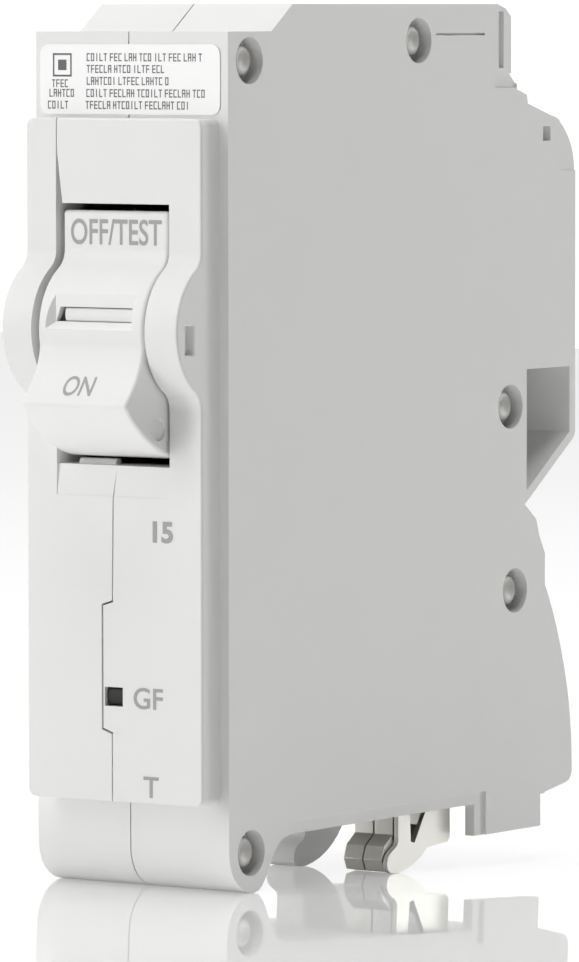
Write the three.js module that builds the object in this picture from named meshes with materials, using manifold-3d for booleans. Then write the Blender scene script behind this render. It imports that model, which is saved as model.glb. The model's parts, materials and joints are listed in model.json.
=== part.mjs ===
// Single-pole plug-on ground fault circuit breaker, millimetres, +Z up, front towards -Y.
// The model is drawn with X = 0 at mid-width, Y = 0 on the front plane of the body and
// Z = 0 under the front foot; the last group moves it to its reference point.
import * as THREE from "three";
import { mergeVertices } from "three/addons/utils/BufferGeometryUtils.js";
import Module from "manifold-3d";

const wasm = await Module();
wasm.setup();

// ---- driving dimensions: body ------------------------------------------------------
const BODY_WIDTH = 25.2;
const BODY_DEPTH = 68.2;
const BODY_TOP = 94.6;
const LABEL_TOP = 91.7;
const BODY_BOTTOM = 5.6;
const WALL = 1.7;
const SEAM = 0.16;
const SEAM_X = -0.3;
const CLEAR = 0.3;
const SLIDE = 0.15;
const FOOT_RADIUS = 4.6;
const FOOT_END = 11.4;
const FOOT_DEPTH = 4.4;
const TOP_LEDGE = 8.05;
const TOP_SLOPE = 3.95;
const REAR_STEP_IN = 13.35;
const REAR_STEP_Z = 86.8;
const NOTCH_IN = 10.45;
const NOTCH_Z = 38.6;
const NOTCH_TOP = 45.6;
const TAIL_IN = 6.3;
const TAIL_Z = 30.2;
const SKID_FRONT_IN = 20.3;
const SKID_REAR_IN = 7.2;
const SKID_DROP = 3.5;
const SKID_WIDTH = 1.55;

// ---- driving dimensions: faceplate, window and handle ------------------------------
const PLATE_REACH = 3.3;
const PLATE_HALF = 11.45;
const PLATE_BOTTOM = 9.7;
const PLATE_TOP = 82.5;
const PLATE_CORNER = 0.9;
const CHEEK_RADIUS = 7.8;
const CHEEK_FILLET = 2.2;
const PIVOT_Z = 60.1;
const WINDOW_LEFT = -7.55;
const WINDOW_RIGHT = 7.3;
const WINDOW_TOP = 73.45;
const WINDOW_BOTTOM = 45.6;
const WINDOW_FLARE = 0.85;
const WINDOW_FLARE_TOP = 79.0;
const FLAP_BOTTOM = 42.3;
const FLAP_SINK = 0.45;
const FLAP_LIP = 0.06;
const HANDLE_GAP_LEFT = 0.8;
const HANDLE_FACE = 3.1;
const HANDLE_WALL = 1.5;
const PADDLE_GAP = 0.75;
const SKIRT_RADIUS = 13.4;
const LIP_ANGLE = 215.3;
const SKIRT_END_ANGLE = 293;
const TRUNNION_RADIUS = 1.6;
const TRUNNION_REACH = 2.4;
const FLAG_TOP = 21.95;
const FLAG_HEIGHT = 2.05;
const FLAG_LEFT = -1.35;
const FLAG_WIDTH = 2.45;
const FLAG_PIVOT = [8.5, 29.0];
const TONGUE_ABOVE = 9.2;
const TONGUE_BELOW = 2.9;
const TONGUE_STEP = 0.25;

// ---- driving dimensions: rivets, plug-on hooks and labels --------------------------
const RIVET_RADIUS = 1.3;
const RIVET_HEAD = 1.65;
const RIVET_HEAD_HEIGHT = 1.25;
const BORE_RADIUS = 2.5;
const BORE_DEPTH = 2.1;
const BOSS_WALL = 1.3;
const RIVETS = {
  top_front_rivet: [3.95, 88.6],
  top_middle_rivet: [36.3, 90.6],
  rear_upper_rivet: [BODY_DEPTH - 13.45, 49.7],
  rear_lower_rivet: [BODY_DEPTH - 12.5, 29.05],
  bottom_front_rivet: [4.1, 4.3],
};
const HOOK_Y = 35.95;
const HOOK_BULGE = 2.2;
const HOOK_DROP = 1.05;
const HOOK_REAR = 43.3;
const HOOK_RISE = 2.8;
const FOOT_HOOK_X = -2.4;
const FOOT_HOOK_WIDTH = 3.6;
const CLIP_X = 10.1;
const CLIP_PLATE = 0.6;
const CLIP_FINGER = 2.45;
const CLIP_FINGER_THICK = 0.9;
const CLIP_HEEL_Y = 46.3;
const CLIP_TOP = 12.0;
const LABEL_THICK = 0.12;
const LABEL_GAP = 0.02;
const LABEL_INSET = 0.65;

// ---- driving dimensions: mechanism and electronics ---------------------------------
const BARRIER_X = 1.6;
const BARRIER_THICK = 0.8;
const ARM_X = -4.9;
const ARM_WIDTH = 2.4;
const ARM_PIVOT = [11.0, 57.0];
const ARM_CONTACT = [43.5, 66.0];
const CONTACT_RADIUS = 2.2;
const CONTACT_THICK = 1.2;
const CRADLE_PIVOT = [13.5, 74.0];
const CRADLE_LATCH = [21.0, 45.6];
const CRADLE_THICK = 1.6;
const ARMATURE_PIVOT = [19.0, 25.0];
const ARMATURE_TOP = 43.6;
const BIMETAL_Y = 29.0;
const BIMETAL_THICK = 1.0;
const BIMETAL_TOP = 45.0;
const BOARD_THICK = 1.6;
const BOARD_Y = [12.0, 50.0];
const BOARD_Z = [16.0, 52.0];
const SOLENOID_Y = [26.0, 42.0];
const SOLENOID_Z = 80.5;
const SOLENOID_RADIUS = 4.6;
const PLUNGER_RADIUS = 1.6;
const PLUNGER_NOSE = 4.6;
const TRIP_PIVOT = [17.0, 87.0];
const TOROID_RADIUS = 5.6;
const TOROID_BORE = 2.5;
const TOROID_THICK = 4.2;
const TOROID_Z = 14.0;

const HALF = BODY_WIDTH / 2;
const REAR_STEP_Y = BODY_DEPTH - REAR_STEP_IN;
const NOTCH_Y = BODY_DEPTH - NOTCH_IN;
const TAIL_Y = BODY_DEPTH - TAIL_IN;
const SKID_FRONT = BODY_DEPTH - SKID_FRONT_IN;
const SKID_REAR = BODY_DEPTH - SKID_REAR_IN;
const HANDLE_LEFT = WINDOW_LEFT + HANDLE_GAP_LEFT;
const HANDLE_RIGHT = WINDOW_RIGHT - CLEAR;

// ---- finishes ------------------------------------------------------------------------
const finish = (color, roughness, metalness) =>
  new THREE.MeshStandardMaterial({ color, roughness, metalness });
const WHITE_PLASTIC = finish(0xe9e9e8, 0.45, 0);
const HANDLE_PLASTIC = finish(0xefefee, 0.42, 0);
const STEEL = finish(0x9a9b9c, 0.4, 1);
const TIN_PLATE = finish(0xb9b7b0, 0.35, 1);
const COPPER = finish(0xb87348, 0.35, 1);
const SILVER = finish(0xd2d2d0, 0.3, 1);
const BIMETAL_STEEL = finish(0x8f8d86, 0.4, 1);
const PAPER = finish(0xf6f6f4, 0.35, 0);
const BLACK_PLASTIC = finish(0x151515, 0.5, 0);
const GREEN_BOARD = finish(0x1f5c3a, 0.5, 0);
const RED_ENAMEL = finish(0x8c2f1c, 0.4, 0.3);
const FIBRE = finish(0x8a7458, 0.8, 0);
const FERRITE = finish(0x3a3a3c, 0.6, 0);
const LENS = finish(0xe8ece8, 0.2, 0);
const BLUE_DISC = finish(0x2b5c8f, 0.5, 0);

// ---- geometry helpers ----------------------------------------------------------------

/** A manifold solid from a closed three.js geometry. */
function solid(geometry) {
  geometry.deleteAttribute("normal");
  geometry.deleteAttribute("uv");
  const merged = mergeVertices(geometry, 1e-5);
  const index = merged.index.array;
  const triVerts = [];
  for (let i = 0; i < index.length; i += 3) {
    const [a, b, c] = [index[i], index[i + 1], index[i + 2]];
    if (a !== b && b !== c && c !== a) triVerts.push(a, b, c);
  }
  const vertProperties = Float32Array.from(merged.attributes.position.array);
  return new wasm.Manifold(
    new wasm.Mesh({ numProp: 3, vertProperties, triVerts: Uint32Array.from(triVerts) }),
  );
}

/** A closed outline from a list of [u, v] points. */
function outline(points) {
  return new THREE.Shape(points.map(([u, v]) => new THREE.Vector2(u, v)));
}

/** Points on a circle from one angle to another, in degrees. */
function arc(centre, radius, from, to, steps) {
  const points = [];
  for (let i = 0; i <= steps; i++) {
    const angle = THREE.MathUtils.degToRad(from + ((to - from) * i) / steps);
    points.push([centre[0] + radius * Math.cos(angle), centre[1] + radius * Math.sin(angle)]);
  }
  return points;
}

/** Points along a cubic curve, ends included. */
function curve(a, b, c, d, steps) {
  const bezier = new THREE.CubicBezierCurve(
    new THREE.Vector2(...a),
    new THREE.Vector2(...b),
    new THREE.Vector2(...c),
    new THREE.Vector2(...d),
  );
  return bezier.getPoints(steps).map((p) => [p.x, p.y]);
}

const vector = (x, y, z) => new THREE.Vector3(x, y, z);

/** A prism whose (y, z) outline runs from x0 to x1. */
function prismX(points, x0, x1) {
  const geometry = new THREE.ExtrudeGeometry(outline(points), {
    depth: x1 - x0,
    bevelEnabled: false,
  });
  const turn = new THREE.Matrix4().makeBasis(vector(0, 1, 0), vector(0, 0, 1), vector(1, 0, 0));
  return solid(geometry.applyMatrix4(turn).translate(x0, 0, 0));
}

/** A prism whose (z, x) outline runs from y0 to y1. */
function prismY(points, y0, y1) {
  const geometry = new THREE.ExtrudeGeometry(outline(points), {
    depth: y1 - y0,
    bevelEnabled: false,
  });
  const turn = new THREE.Matrix4().makeBasis(vector(0, 0, 1), vector(1, 0, 0), vector(0, 1, 0));
  return solid(geometry.applyMatrix4(turn).translate(0, y0, 0));
}

/** A prism whose (x, y) outline runs from z0 to z1. */
function prismZ(points, z0, z1) {
  const geometry = new THREE.ExtrudeGeometry(outline(points), {
    depth: z1 - z0,
    bevelEnabled: false,
  });
  return solid(geometry.translate(0, 0, z0));
}

/** A box between two corners. */
function box(x0, x1, y0, y1, z0, z1) {
  const geometry = new THREE.BoxGeometry(x1 - x0, y1 - y0, z1 - z0);
  return solid(geometry.translate((x0 + x1) / 2, (y0 + y1) / 2, (z0 + z1) / 2));
}

/** A round bar along X. */
function rodX(radius, x0, x1, [y, z], sides = 24) {
  const geometry = new THREE.CylinderGeometry(radius, radius, x1 - x0, sides);
  return solid(geometry.rotateZ(Math.PI / 2).translate((x0 + x1) / 2, y, z));
}

/** A round bar along Y. */
function rodY(radius, y0, y1, [x, z], sides = 24) {
  const geometry = new THREE.CylinderGeometry(radius, radius, y1 - y0, sides);
  return solid(geometry.translate(x, (y0 + y1) / 2, z));
}

/** A round bar along Z. */
function rodZ(radius, z0, z1, [x, y], sides = 24) {
  const geometry = new THREE.CylinderGeometry(radius, radius, z1 - z0, sides);
  return solid(geometry.rotateX(Math.PI / 2).translate(x, y, (z0 + z1) / 2));
}

/** A coil of round wire wound about the line from start along axis. */
function coil(start, axis, length, radius, wire, turns) {
  const direction = axis.clone().normalize();
  const side = new THREE.Vector3(1, 0, 0);
  if (Math.abs(direction.x) > 0.9) side.set(0, 1, 0);
  const u = side.clone().cross(direction).normalize();
  const v = direction.clone().cross(u);
  const points = [];
  const steps = turns * 10;
  for (let i = 0; i <= steps; i++) {
    const angle = (2 * Math.PI * i) / 10;
    const point = start.clone().addScaledVector(direction, (length * i) / steps);
    point.addScaledVector(u, radius * Math.cos(angle));
    point.addScaledVector(v, radius * Math.sin(angle));
    points.push(point);
  }
  const path = new THREE.CatmullRomCurve3(points);
  const section = outline(arc([0, 0], wire / 2, 0, 300, 5));
  return solid(
    new THREE.ExtrudeGeometry(section, { steps, extrudePath: path, bevelEnabled: false }),
  );
}

/** A flat strip of even thickness along a (y, z) centre line, between x0 and x1. */
function strip(line, thick, x0, x1) {
  const left = [];
  const right = [];
  line.forEach((point, i) => {
    const before = line[Math.max(i - 1, 0)];
    const after = line[Math.min(i + 1, line.length - 1)];
    const inDir = new THREE.Vector2(point[0] - before[0], point[1] - before[1]).normalize();
    const outDir = new THREE.Vector2(after[0] - point[0], after[1] - point[1]).normalize();
    const along = inDir.clone().add(outDir).normalize();
    const square = inDir.lengthSq() && outDir.lengthSq() ? along.dot(outDir) : 1;
    const reach = thick / 2 / square;
    left.push([point[0] - along.y * reach, point[1] + along.x * reach]);
    right.push([point[0] + along.y * reach, point[1] - along.x * reach]);
  });
  return prismX([...right, ...left.reverse()], x0, x1);
}

const join = (...pieces) => pieces.reduce((whole, piece) => whole.add(piece));
const cut = (whole, ...tools) => tools.reduce((rest, tool) => rest.subtract(tool), whole);

/** A named mesh made from a manifold solid. */
function mesh(name, body, material) {
  const { vertProperties, triVerts } = body.getMesh();
  const geometry = new THREE.BufferGeometry();
  geometry.setAttribute("position", new THREE.BufferAttribute(vertProperties, 3));
  geometry.setIndex(new THREE.BufferAttribute(triVerts, 1));
  geometry.computeVertexNormals();
  const made = new THREE.Mesh(geometry, material);
  made.name = name;
  return made;
}

// ---- housing -------------------------------------------------------------------------

/** The side outline of the body, (y, z), anticlockwise seen from the right. */
function bodyOutline() {
  return [
    ...arc([FOOT_RADIUS, FOOT_RADIUS], FOOT_RADIUS, 180, 270, 10),
    ...curve([FOOT_DEPTH + 0.3, 0], [7.4, 0], [7.6, BODY_BOTTOM], [FOOT_END, BODY_BOTTOM], 10),
    [TAIL_Y, BODY_BOTTOM + 0.1],
    ...arc([BODY_DEPTH - 1.5, 7.9], 1.4, 280, 355, 3),
    ...curve([BODY_DEPTH - 0.1, 9], [BODY_DEPTH - 0.1, 17.5],
      [BODY_DEPTH - 3.4, 25.5], [TAIL_Y, TAIL_Z], 9),
    [TAIL_Y, TAIL_Z + 2.7],
    [TAIL_Y - 1.1, 34.8],
    [TAIL_Y - 1.8, 36.8],
    [NOTCH_Y, NOTCH_Z],
    [BODY_DEPTH - 0.4, NOTCH_TOP],
    [BODY_DEPTH, NOTCH_TOP + 0.6],
    ...curve([BODY_DEPTH, 76.4], [BODY_DEPTH, 79], [BODY_DEPTH - 2.7, 82],
      [BODY_DEPTH - 5, 82.1], 8),
    [REAR_STEP_Y + 3.45, 83.5],
    [REAR_STEP_Y + 3.25, 84.5],
    [REAR_STEP_Y + 1.25, 85.1],
    [REAR_STEP_Y + 1.15, 85.8],
    [REAR_STEP_Y, REAR_STEP_Z],
    [REAR_STEP_Y, 93.2],
    [REAR_STEP_Y - 1.1, 94.1],
    [REAR_STEP_Y - 2.8, BODY_TOP],
    [TOP_LEDGE + TOP_SLOPE, BODY_TOP],
    [TOP_LEDGE, LABEL_TOP],
    [0, LABEL_TOP],
  ];
}

/** The outline of the hollow inside the walls, (y, z). */
function hollowOutline() {
  const inner = BODY_DEPTH - WALL;
  return [
    [WALL, BODY_BOTTOM + WALL + 2.5],
    [WALL + 2.5, BODY_BOTTOM + WALL],
    [TAIL_Y - WALL, BODY_BOTTOM + WALL],
    [TAIL_Y - WALL, TAIL_Z + 2.2],
    [TAIL_Y - 1.8 - WALL, 36.0],
    [NOTCH_Y - 1.4, NOTCH_Z + 0.6],
    [inner, NOTCH_TOP + 1.1],
    [inner, 76.4],
    [inner - 1.9, 80.2],
    [REAR_STEP_Y + 2.75, 81.9],
    [REAR_STEP_Y - WALL, 84.6],
    [REAR_STEP_Y - WALL, BODY_TOP - WALL],
    [TOP_LEDGE + TOP_SLOPE + 0.5, BODY_TOP - WALL],
    [TOP_LEDGE + 0.5, LABEL_TOP - WALL],
    [WALL, LABEL_TOP - WALL],
  ];
}

/** Front outline of the faceplate with the round cheek that guards the handle, (y, z). */
function cheekOutline() {
  const rise = Math.sqrt(
    (CHEEK_RADIUS + CHEEK_FILLET) ** 2 - (PLATE_REACH + CHEEK_FILLET) ** 2,
  );
  const meet = THREE.MathUtils.radToDeg(Math.atan2(rise, -PLATE_REACH - CHEEK_FILLET));
  const high = [-PLATE_REACH - CHEEK_FILLET, PIVOT_Z + rise];
  const low = [-PLATE_REACH - CHEEK_FILLET, PIVOT_Z - rise];
  return [
    [0.5, PLATE_TOP],
    [-PLATE_REACH, PLATE_TOP],
    ...arc(high, CHEEK_FILLET, 0, meet - 180, 6),
    ...arc([0, PIVOT_Z], CHEEK_RADIUS, meet, 360 - meet, 28),
    ...arc(low, CHEEK_FILLET, 180 - meet, 0, 6),
    [-PLATE_REACH, PLATE_BOTTOM],
    [0.5, PLATE_BOTTOM],
  ];
}

/** A rectangle with round corners as [z, x] points. */
function roundedRectangle(z0, z1, x0, x1, r) {
  return [
    ...arc([z1 - r, x1 - r], r, 0, 90, 6),
    ...arc([z0 + r, x1 - r], r, 90, 180, 6),
    ...arc([z0 + r, x0 + r], r, 180, 270, 6),
    ...arc([z1 - r, x0 + r], r, 270, 360, 6),
  ];
}

/** The whole outer form before it is parted: body, faceplate and cheeks. */
function outerForm() {
  const front = roundedRectangle(PLATE_BOTTOM, PLATE_TOP, -PLATE_HALF, PLATE_HALF, PLATE_CORNER);
  const plate = prismX(cheekOutline(), -PLATE_HALF, PLATE_HALF).intersect(
    prismY(front, -CHEEK_RADIUS - 1, 1),
  );
  const skids = [-1, 1].map((side) => {
    const edge = side * HALF;
    const inner = side * (HALF - SKID_WIDTH);
    const [x0, x1] = [Math.min(edge, inner), Math.max(edge, inner)];
    const drop = BODY_BOTTOM - SKID_DROP;
    return box(x0, x1, SKID_FRONT, SKID_REAR, drop, BODY_BOTTOM + WALL);
  });
  return join(prismX(bodyOutline(), -HALF, HALF), plate, ...skids);
}

/** Window in the faceplate for the handle, clear through to the hollow. */
function handleWindow() {
  const round = arc([0, PIVOT_Z], SKIRT_RADIUS + CLEAR, 0, 345, 23);
  const sweep = prismX(round, WINDOW_LEFT, WINDOW_RIGHT);
  const mouth = box(WINDOW_LEFT, WINDOW_RIGHT, -9, 6, WINDOW_BOTTOM, WINDOW_TOP);
  return join(sweep, mouth);
}

/** The right half's share of space; shift moves its boundary to leave the seam. */
function rightShare(shift) {
  const far = HALF + 5;
  const body = SEAM_X + shift;
  const plate = WINDOW_LEFT + 0.08 + shift;
  const tongue = FLAG_LEFT - TONGUE_STEP + shift;
  const tongueTop = FLAG_TOP + TONGUE_ABOVE - shift;
  const tongueLow = FLAG_TOP - FLAG_HEIGHT - TONGUE_BELOW + shift;
  const slant = 0.45;
  const main = box(body, far, 0, 80, -5, 100);
  const front = prismY(
    [
      [PLATE_TOP + 1, far],
      [0, far],
      [0, body],
      [tongueLow, body],
      [tongueLow + slant, tongue],
      [tongueTop - slant, tongue],
      [tongueTop, body + 0.05],
      [FLAP_BOTTOM, body + 0.2],
      [WINDOW_BOTTOM, body + 0.6],
      [PIVOT_Z, body + 0.6],
      [PIVOT_Z, plate],
      [PLATE_TOP + 0.01, plate],
      [PLATE_TOP + 0.01, body],
      [PLATE_TOP + 1, body],
    ],
    -12,
    0,
  );
  return join(main, front);
}

/** The gap that widens towards the window, beside the upper plate of the right half. */
function windowFlare() {
  const left = WINDOW_LEFT - 0.1;
  return prismY(
    [
      [WINDOW_FLARE_TOP, left],
      [WINDOW_FLARE_TOP, WINDOW_LEFT + 0.08 + SEAM / 2],
      [WINDOW_TOP - 0.1, WINDOW_LEFT + WINDOW_FLARE],
      [WINDOW_TOP - 0.1, left],
    ].reverse(),
    -PLATE_REACH - 1,
    -0.1,
  );
}

/** The sunk face above the window's lower flap, deepest at its top. */
function flapRecess(x0, x1, depth) {
  const top = WINDOW_BOTTOM + 1;
  return prismX(
    [
      [-PLATE_REACH - 6, FLAP_BOTTOM],
      [-PLATE_REACH + FLAP_LIP, FLAP_BOTTOM],
      [-PLATE_REACH + depth, top],
      [-PLATE_REACH - 6, top],
    ],
    x0,
    x1,
  );
}

/** Counterbores, rivet holes and the bosses that hold them. */
function rivetBosses() {
  return join(...Object.values(RIVETS).map((at) => {
    const reach = BORE_RADIUS + BOSS_WALL;
    return rodX(reach, -HALF + 0.5, HALF - 0.5, at, 20);
  }));
}

function rivetBores() {
  return Object.values(RIVETS).flatMap((at) => [
    rodX(RIVET_RADIUS + CLEAR, -HALF - 1, HALF + 1, at, 20),
    rodX(BORE_RADIUS, HALF - BORE_DEPTH, HALF + 1, at, 28),
    rodX(BORE_RADIUS, -HALF - 1, -HALF + BORE_DEPTH, at, 28),
  ]);
}

/** Small moulded details of the right half's outer side. */
function sideDetails() {
  const face = HALF - 0.45;
  return [
    box(face + 0.1, HALF + 1, FOOT_END - 0.05, SKID_FRONT + 1.9, 0, BODY_BOTTOM + 1.4),
    box(HALF - 0.9, HALF + 1, REAR_STEP_Y - 2.55, REAR_STEP_Y - 1.55, 87.5, 93.8),
    box(face, HALF + 1, REAR_STEP_Y - 15.15, REAR_STEP_Y - 5.35, 91.15, 91.4),
    box(HALF - 0.9, HALF + 1, TAIL_Y - 0.5, TAIL_Y + 1.1, 79.3, 80.9),
    box(HALF - 0.35, HALF + 1, TAIL_Y, BODY_DEPTH + 1, 0, TAIL_Z + 1.2),
    box(HALF - 0.25, HALF + 1, REAR_STEP_Y - 3.25, REAR_STEP_Y + 1.15, 85.3, 86.9),
    box(HALF - 0.2, HALF + 1, BODY_DEPTH - 3.3, BODY_DEPTH + 1, 75.9, 84),
  ];
}

/** The sunk window behind the rear notch, open on the right side. */
function rearPocket() {
  return prismX(
    [
      [NOTCH_Y + 0.35, 53.75],
      [NOTCH_Y + 0.35, 40.15],
      [BODY_DEPTH - 1.2, 46.35],
      [BODY_DEPTH - 1.2, 53.75],
    ],
    BARRIER_X + 2,
    HALF + 1,
  );
}

/** Slots in the cheeks' outer faces, beside the handle's pivot. */
function cheekSlots() {
  return [-1, 1].map((side) => {
    const middle = side * PLATE_HALF;
    return box(middle - 0.9, middle + 0.9, -6.1, -4.65, PIVOT_Z - 2.4, PIVOT_Z + 0.7);
  });
}

const trunnionHoles = () =>
  rodX(TRUNNION_RADIUS + CLEAR, HANDLE_LEFT - TRUNNION_REACH - CLEAR - HANDLE_GAP_LEFT,
    HANDLE_RIGHT + TRUNNION_REACH + CLEAR, [0, PIVOT_Z], 24);

/** Hollow of one half, with its rivet bosses left standing. */
function hollow(x0, x1) {
  return cut(prismX(hollowOutline(), x0, x1), rivetBosses());
}

function rightHousing() {
  const inside = hollow(SEAM_X - 1, HALF - WALL);
  const pocketBlock = box(-1, HALF, NOTCH_Y - 1.2, BODY_DEPTH, NOTCH_Z - 0.5, 55.2);
  const clipWell = box(
    CLIP_X - CLIP_PLATE - 2 * CLIP_FINGER - 3 * CLEAR, CLIP_X + 2 * CLEAR,
    HOOK_Y - CLEAR, CLIP_HEEL_Y + CLEAR, 0, BODY_BOTTOM + WALL + 0.5,
  );
  const flagWindow = box(
    FLAG_LEFT, FLAG_LEFT + FLAG_WIDTH, -9, 3, FLAG_TOP - FLAG_HEIGHT, FLAG_TOP);
  const recess = flapRecess(SEAM_X - 1, WINDOW_RIGHT, FLAP_LIP + 0.05);
  const strip = box(FLAG_LEFT - 1, FLAG_LEFT + FLAG_WIDTH, -9, -PLATE_REACH + 0.1,
    FLAG_TOP - FLAG_HEIGHT - TONGUE_BELOW, FLAG_TOP + TONGUE_ABOVE);
  const form = outerForm().intersect(rightShare(SEAM / 2));
  return cut(form, cut(inside, pocketBlock), rearPocket(), handleWindow(), trunnionHoles(),
    windowFlare(), clipWell, flagWindow, recess, strip, ...sideDetails(), ...cheekSlots(),
    ...rivetBores());
}

function leftHousing() {
  const inside = hollow(-HALF + WALL, SEAM_X + 1);
  const jawChamberWall = box(-10, SEAM_X, NOTCH_Y - 0.6, NOTCH_Y + 0.2, NOTCH_Z, 55.2);
  const stabSlot = box(-6.6, -3.2, BODY_DEPTH - 4, BODY_DEPTH + 1, 47.2, 53.6);
  const recess = flapRecess(WINDOW_LEFT, SEAM_X + 1, FLAP_SINK);
  const foot = prismX(hookOutline(), FOOT_HOOK_X - FOOT_HOOK_WIDTH, FOOT_HOOK_X);
  const form = cut(outerForm(), rightShare(-SEAM / 2));
  const shell = cut(form, cut(inside, jawChamberWall), handleWindow(), trunnionHoles(), stabSlot,
    recess, ...cheekSlots(), ...rivetBores());
  return join(shell, foot);
}

// ---- plug-on hooks ---------------------------------------------------------------------

/** Hook profile shared by the plastic foot and the metal clip, (y, z). */
function hookOutline() {
  const front = HOOK_Y - HOOK_BULGE;
  return [
    [HOOK_Y, BODY_BOTTOM + 0.8],
    ...curve([HOOK_Y, 2.4], [HOOK_Y, 1.6], [front, 1.6], [front, 0.2], 5),
    ...curve([front, 0.0], [front, -0.8], [34.4, -HOOK_DROP], [35.5, -HOOK_DROP], 4),
    ...curve([36.2, -HOOK_DROP], [39, -0.7], [41.6, 0.6], [HOOK_REAR, HOOK_RISE], 6),
    [HOOK_REAR + 1.6, BODY_BOTTOM + 0.8],
  ];
}

/** The clip's flat side plate: hook, heel and the open triangle between them. */
function clipPlate() {
  const hook = hookOutline().slice(1, -2);
  const plate = prismX(
    [
      [HOOK_Y, CLIP_TOP],
      ...hook,
      [41.4, 1.25],
      [CLIP_HEEL_Y - 0.5, 1.5],
      [CLIP_HEEL_Y, 2.0],
      [CLIP_HEEL_Y, CLIP_TOP],
    ],
    CLIP_X - CLIP_PLATE,
    CLIP_X,
  );
  const opening = prismX([[38.2, 7.2], [38.5, 2.2], [39.2, 2.0], [42.6, 7.2]], 0, HALF);
  return cut(plate, opening);
}

/** One spring finger: a strip that runs down the shank, round the bulge and up the back. */
function clipFinger(x0) {
  const t = CLIP_FINGER_THICK;
  const front = HOOK_Y - HOOK_BULGE;
  const line = [
    [HOOK_Y + t / 2, CLIP_TOP],
    [HOOK_Y + t / 2, 2.9],
    [front + 0.9, 1.7],
    [front + t / 2, 0.5],
    [front + 0.8, -0.35],
    [front + 2.2, -HOOK_DROP + t / 2],
    [38.4, -0.25],
    [40.6, 1.0],
    [43.2, 3.4],
    [43.2, CLIP_TOP],
  ];
  return strip(line, t, x0, x0 + CLIP_FINGER);
}

/** The line jaw: two leaves that grip the bus stab, joined by a bridge at the front. */
function lineJaw() {
  const [y0, y1] = [NOTCH_Y + 1.6, BODY_DEPTH - WALL - 0.6];
  const leaf = (x) => box(x, x + 0.9, y0, y1, 47.4, 53.2);
  const bridge = box(-7.4, -2.2, y0, y0 + 0.9, 47.4, 53.2);
  return join(leaf(-7.4), leaf(-3.1), bridge);
}

/** Spring-steel cage round the jaw. */
function jawSpring() {
  const [y0, y1] = [NOTCH_Y + 3.2, BODY_DEPTH - WALL - 1.6];
  const leaf = (x) => box(x, x + 0.5, y0, y1, 48.2, 54.0);
  return join(leaf(-8.2), leaf(-1.9), box(-8.2, -1.4, y0, y1, 53.5, 54.0));
}

// ---- handle ----------------------------------------------------------------------------

const polar = (radius, degrees) => {
  const angle = THREE.MathUtils.degToRad(degrees);
  return [radius * Math.cos(angle), PIVOT_Z + radius * Math.sin(angle)];
};

/** Outer skin of the handle: paddle, drum, lip and skirt, (y, z). */
function handleSkin() {
  const drum = CHEEK_RADIUS - 0.05;
  const fillet = 2.4;
  const rise = Math.sqrt((drum + fillet) ** 2 - (HANDLE_FACE + fillet) ** 2);
  const meet = THREE.MathUtils.radToDeg(Math.atan2(rise, -HANDLE_FACE - fillet));
  const paddleTop = WINDOW_TOP - PADDLE_GAP;
  return [
    [-HANDLE_FACE, paddleTop],
    ...arc([-HANDLE_FACE - fillet, PIVOT_Z + rise], fillet, 0, meet - 180, 6),
    ...arc([0, PIVOT_Z], drum, meet + 4, 190, 12),
    ...curve(polar(drum, 192), polar(drum + 0.7, 204), polar(drum + 1.9, 210),
      polar(SKIRT_RADIUS - 0.05, LIP_ANGLE - 0.4), 7),
    ...arc([0, PIVOT_Z], SKIRT_RADIUS, LIP_ANGLE, SKIRT_END_ANGLE, 16),
  ];
}

function handle() {
  const t = HANDLE_WALL;
  const paddleTop = WINDOW_TOP - PADDLE_GAP;
  const body = prismX(
    [
      ...handleSkin(),
      polar(SKIRT_RADIUS - t, SKIRT_END_ANGLE),
      polar(3.4, 300),
      polar(3.4, 360),
      polar(3.4, 55),
      [-HANDLE_FACE + t + 0.6, PIVOT_Z + 8],
      [-HANDLE_FACE + t, paddleTop],
    ],
    HANDLE_LEFT,
    HANDLE_RIGHT,
  );
  const core = prismX(
    [
      [-HANDLE_FACE + t, paddleTop - t],
      [-HANDLE_FACE + t, PIVOT_Z + 9.4],
      ...arc([0, PIVOT_Z], CHEEK_RADIUS - t, 130, 186, 5),
      ...arc([0, PIVOT_Z], SKIRT_RADIUS - t, 222, SKIRT_END_ANGLE + 8, 10),
      [12, PIVOT_Z - 6],
      [12, paddleTop - t],
    ],
    HANDLE_LEFT + t,
    HANDLE_RIGHT - t,
  );
  const hub = rodX(2.6, HANDLE_LEFT + 0.5, HANDLE_RIGHT - 0.5, [0, PIVOT_Z], 24);
  const [pinLeft, pinRight] = [HANDLE_LEFT - TRUNNION_REACH, HANDLE_RIGHT + TRUNNION_REACH];
  const trunnions = rodX(TRUNNION_RADIUS, pinLeft, pinRight, [0, PIVOT_Z], 24);
  const slotBevel = box(-5.3, 5.9, -9, -CHEEK_RADIUS + 0.6, PIVOT_Z + 0.4, PIVOT_Z + 3.2);
  const slot = box(-4.6, 5.3, -9, -5, PIVOT_Z + 0.86, PIVOT_Z + 2.46);
  return cut(join(cut(body, core), hub, trunnions), slotBevel, slot);
}

/** The pale bar that shows in the handle's slot. */
function statusBar() {
  return prismX(
    [
      [-CHEEK_RADIUS + 1.0, PIVOT_Z + 0.96],
      [-CHEEK_RADIUS + 1.0, PIVOT_Z + 2.34],
      [-5.3, PIVOT_Z + 2.34],
      [-5.3, PIVOT_Z + 0.96],
    ].reverse(),
    -3.9,
    5.2,
  );
}

// ---- rivets and labels -----------------------------------------------------------------

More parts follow.
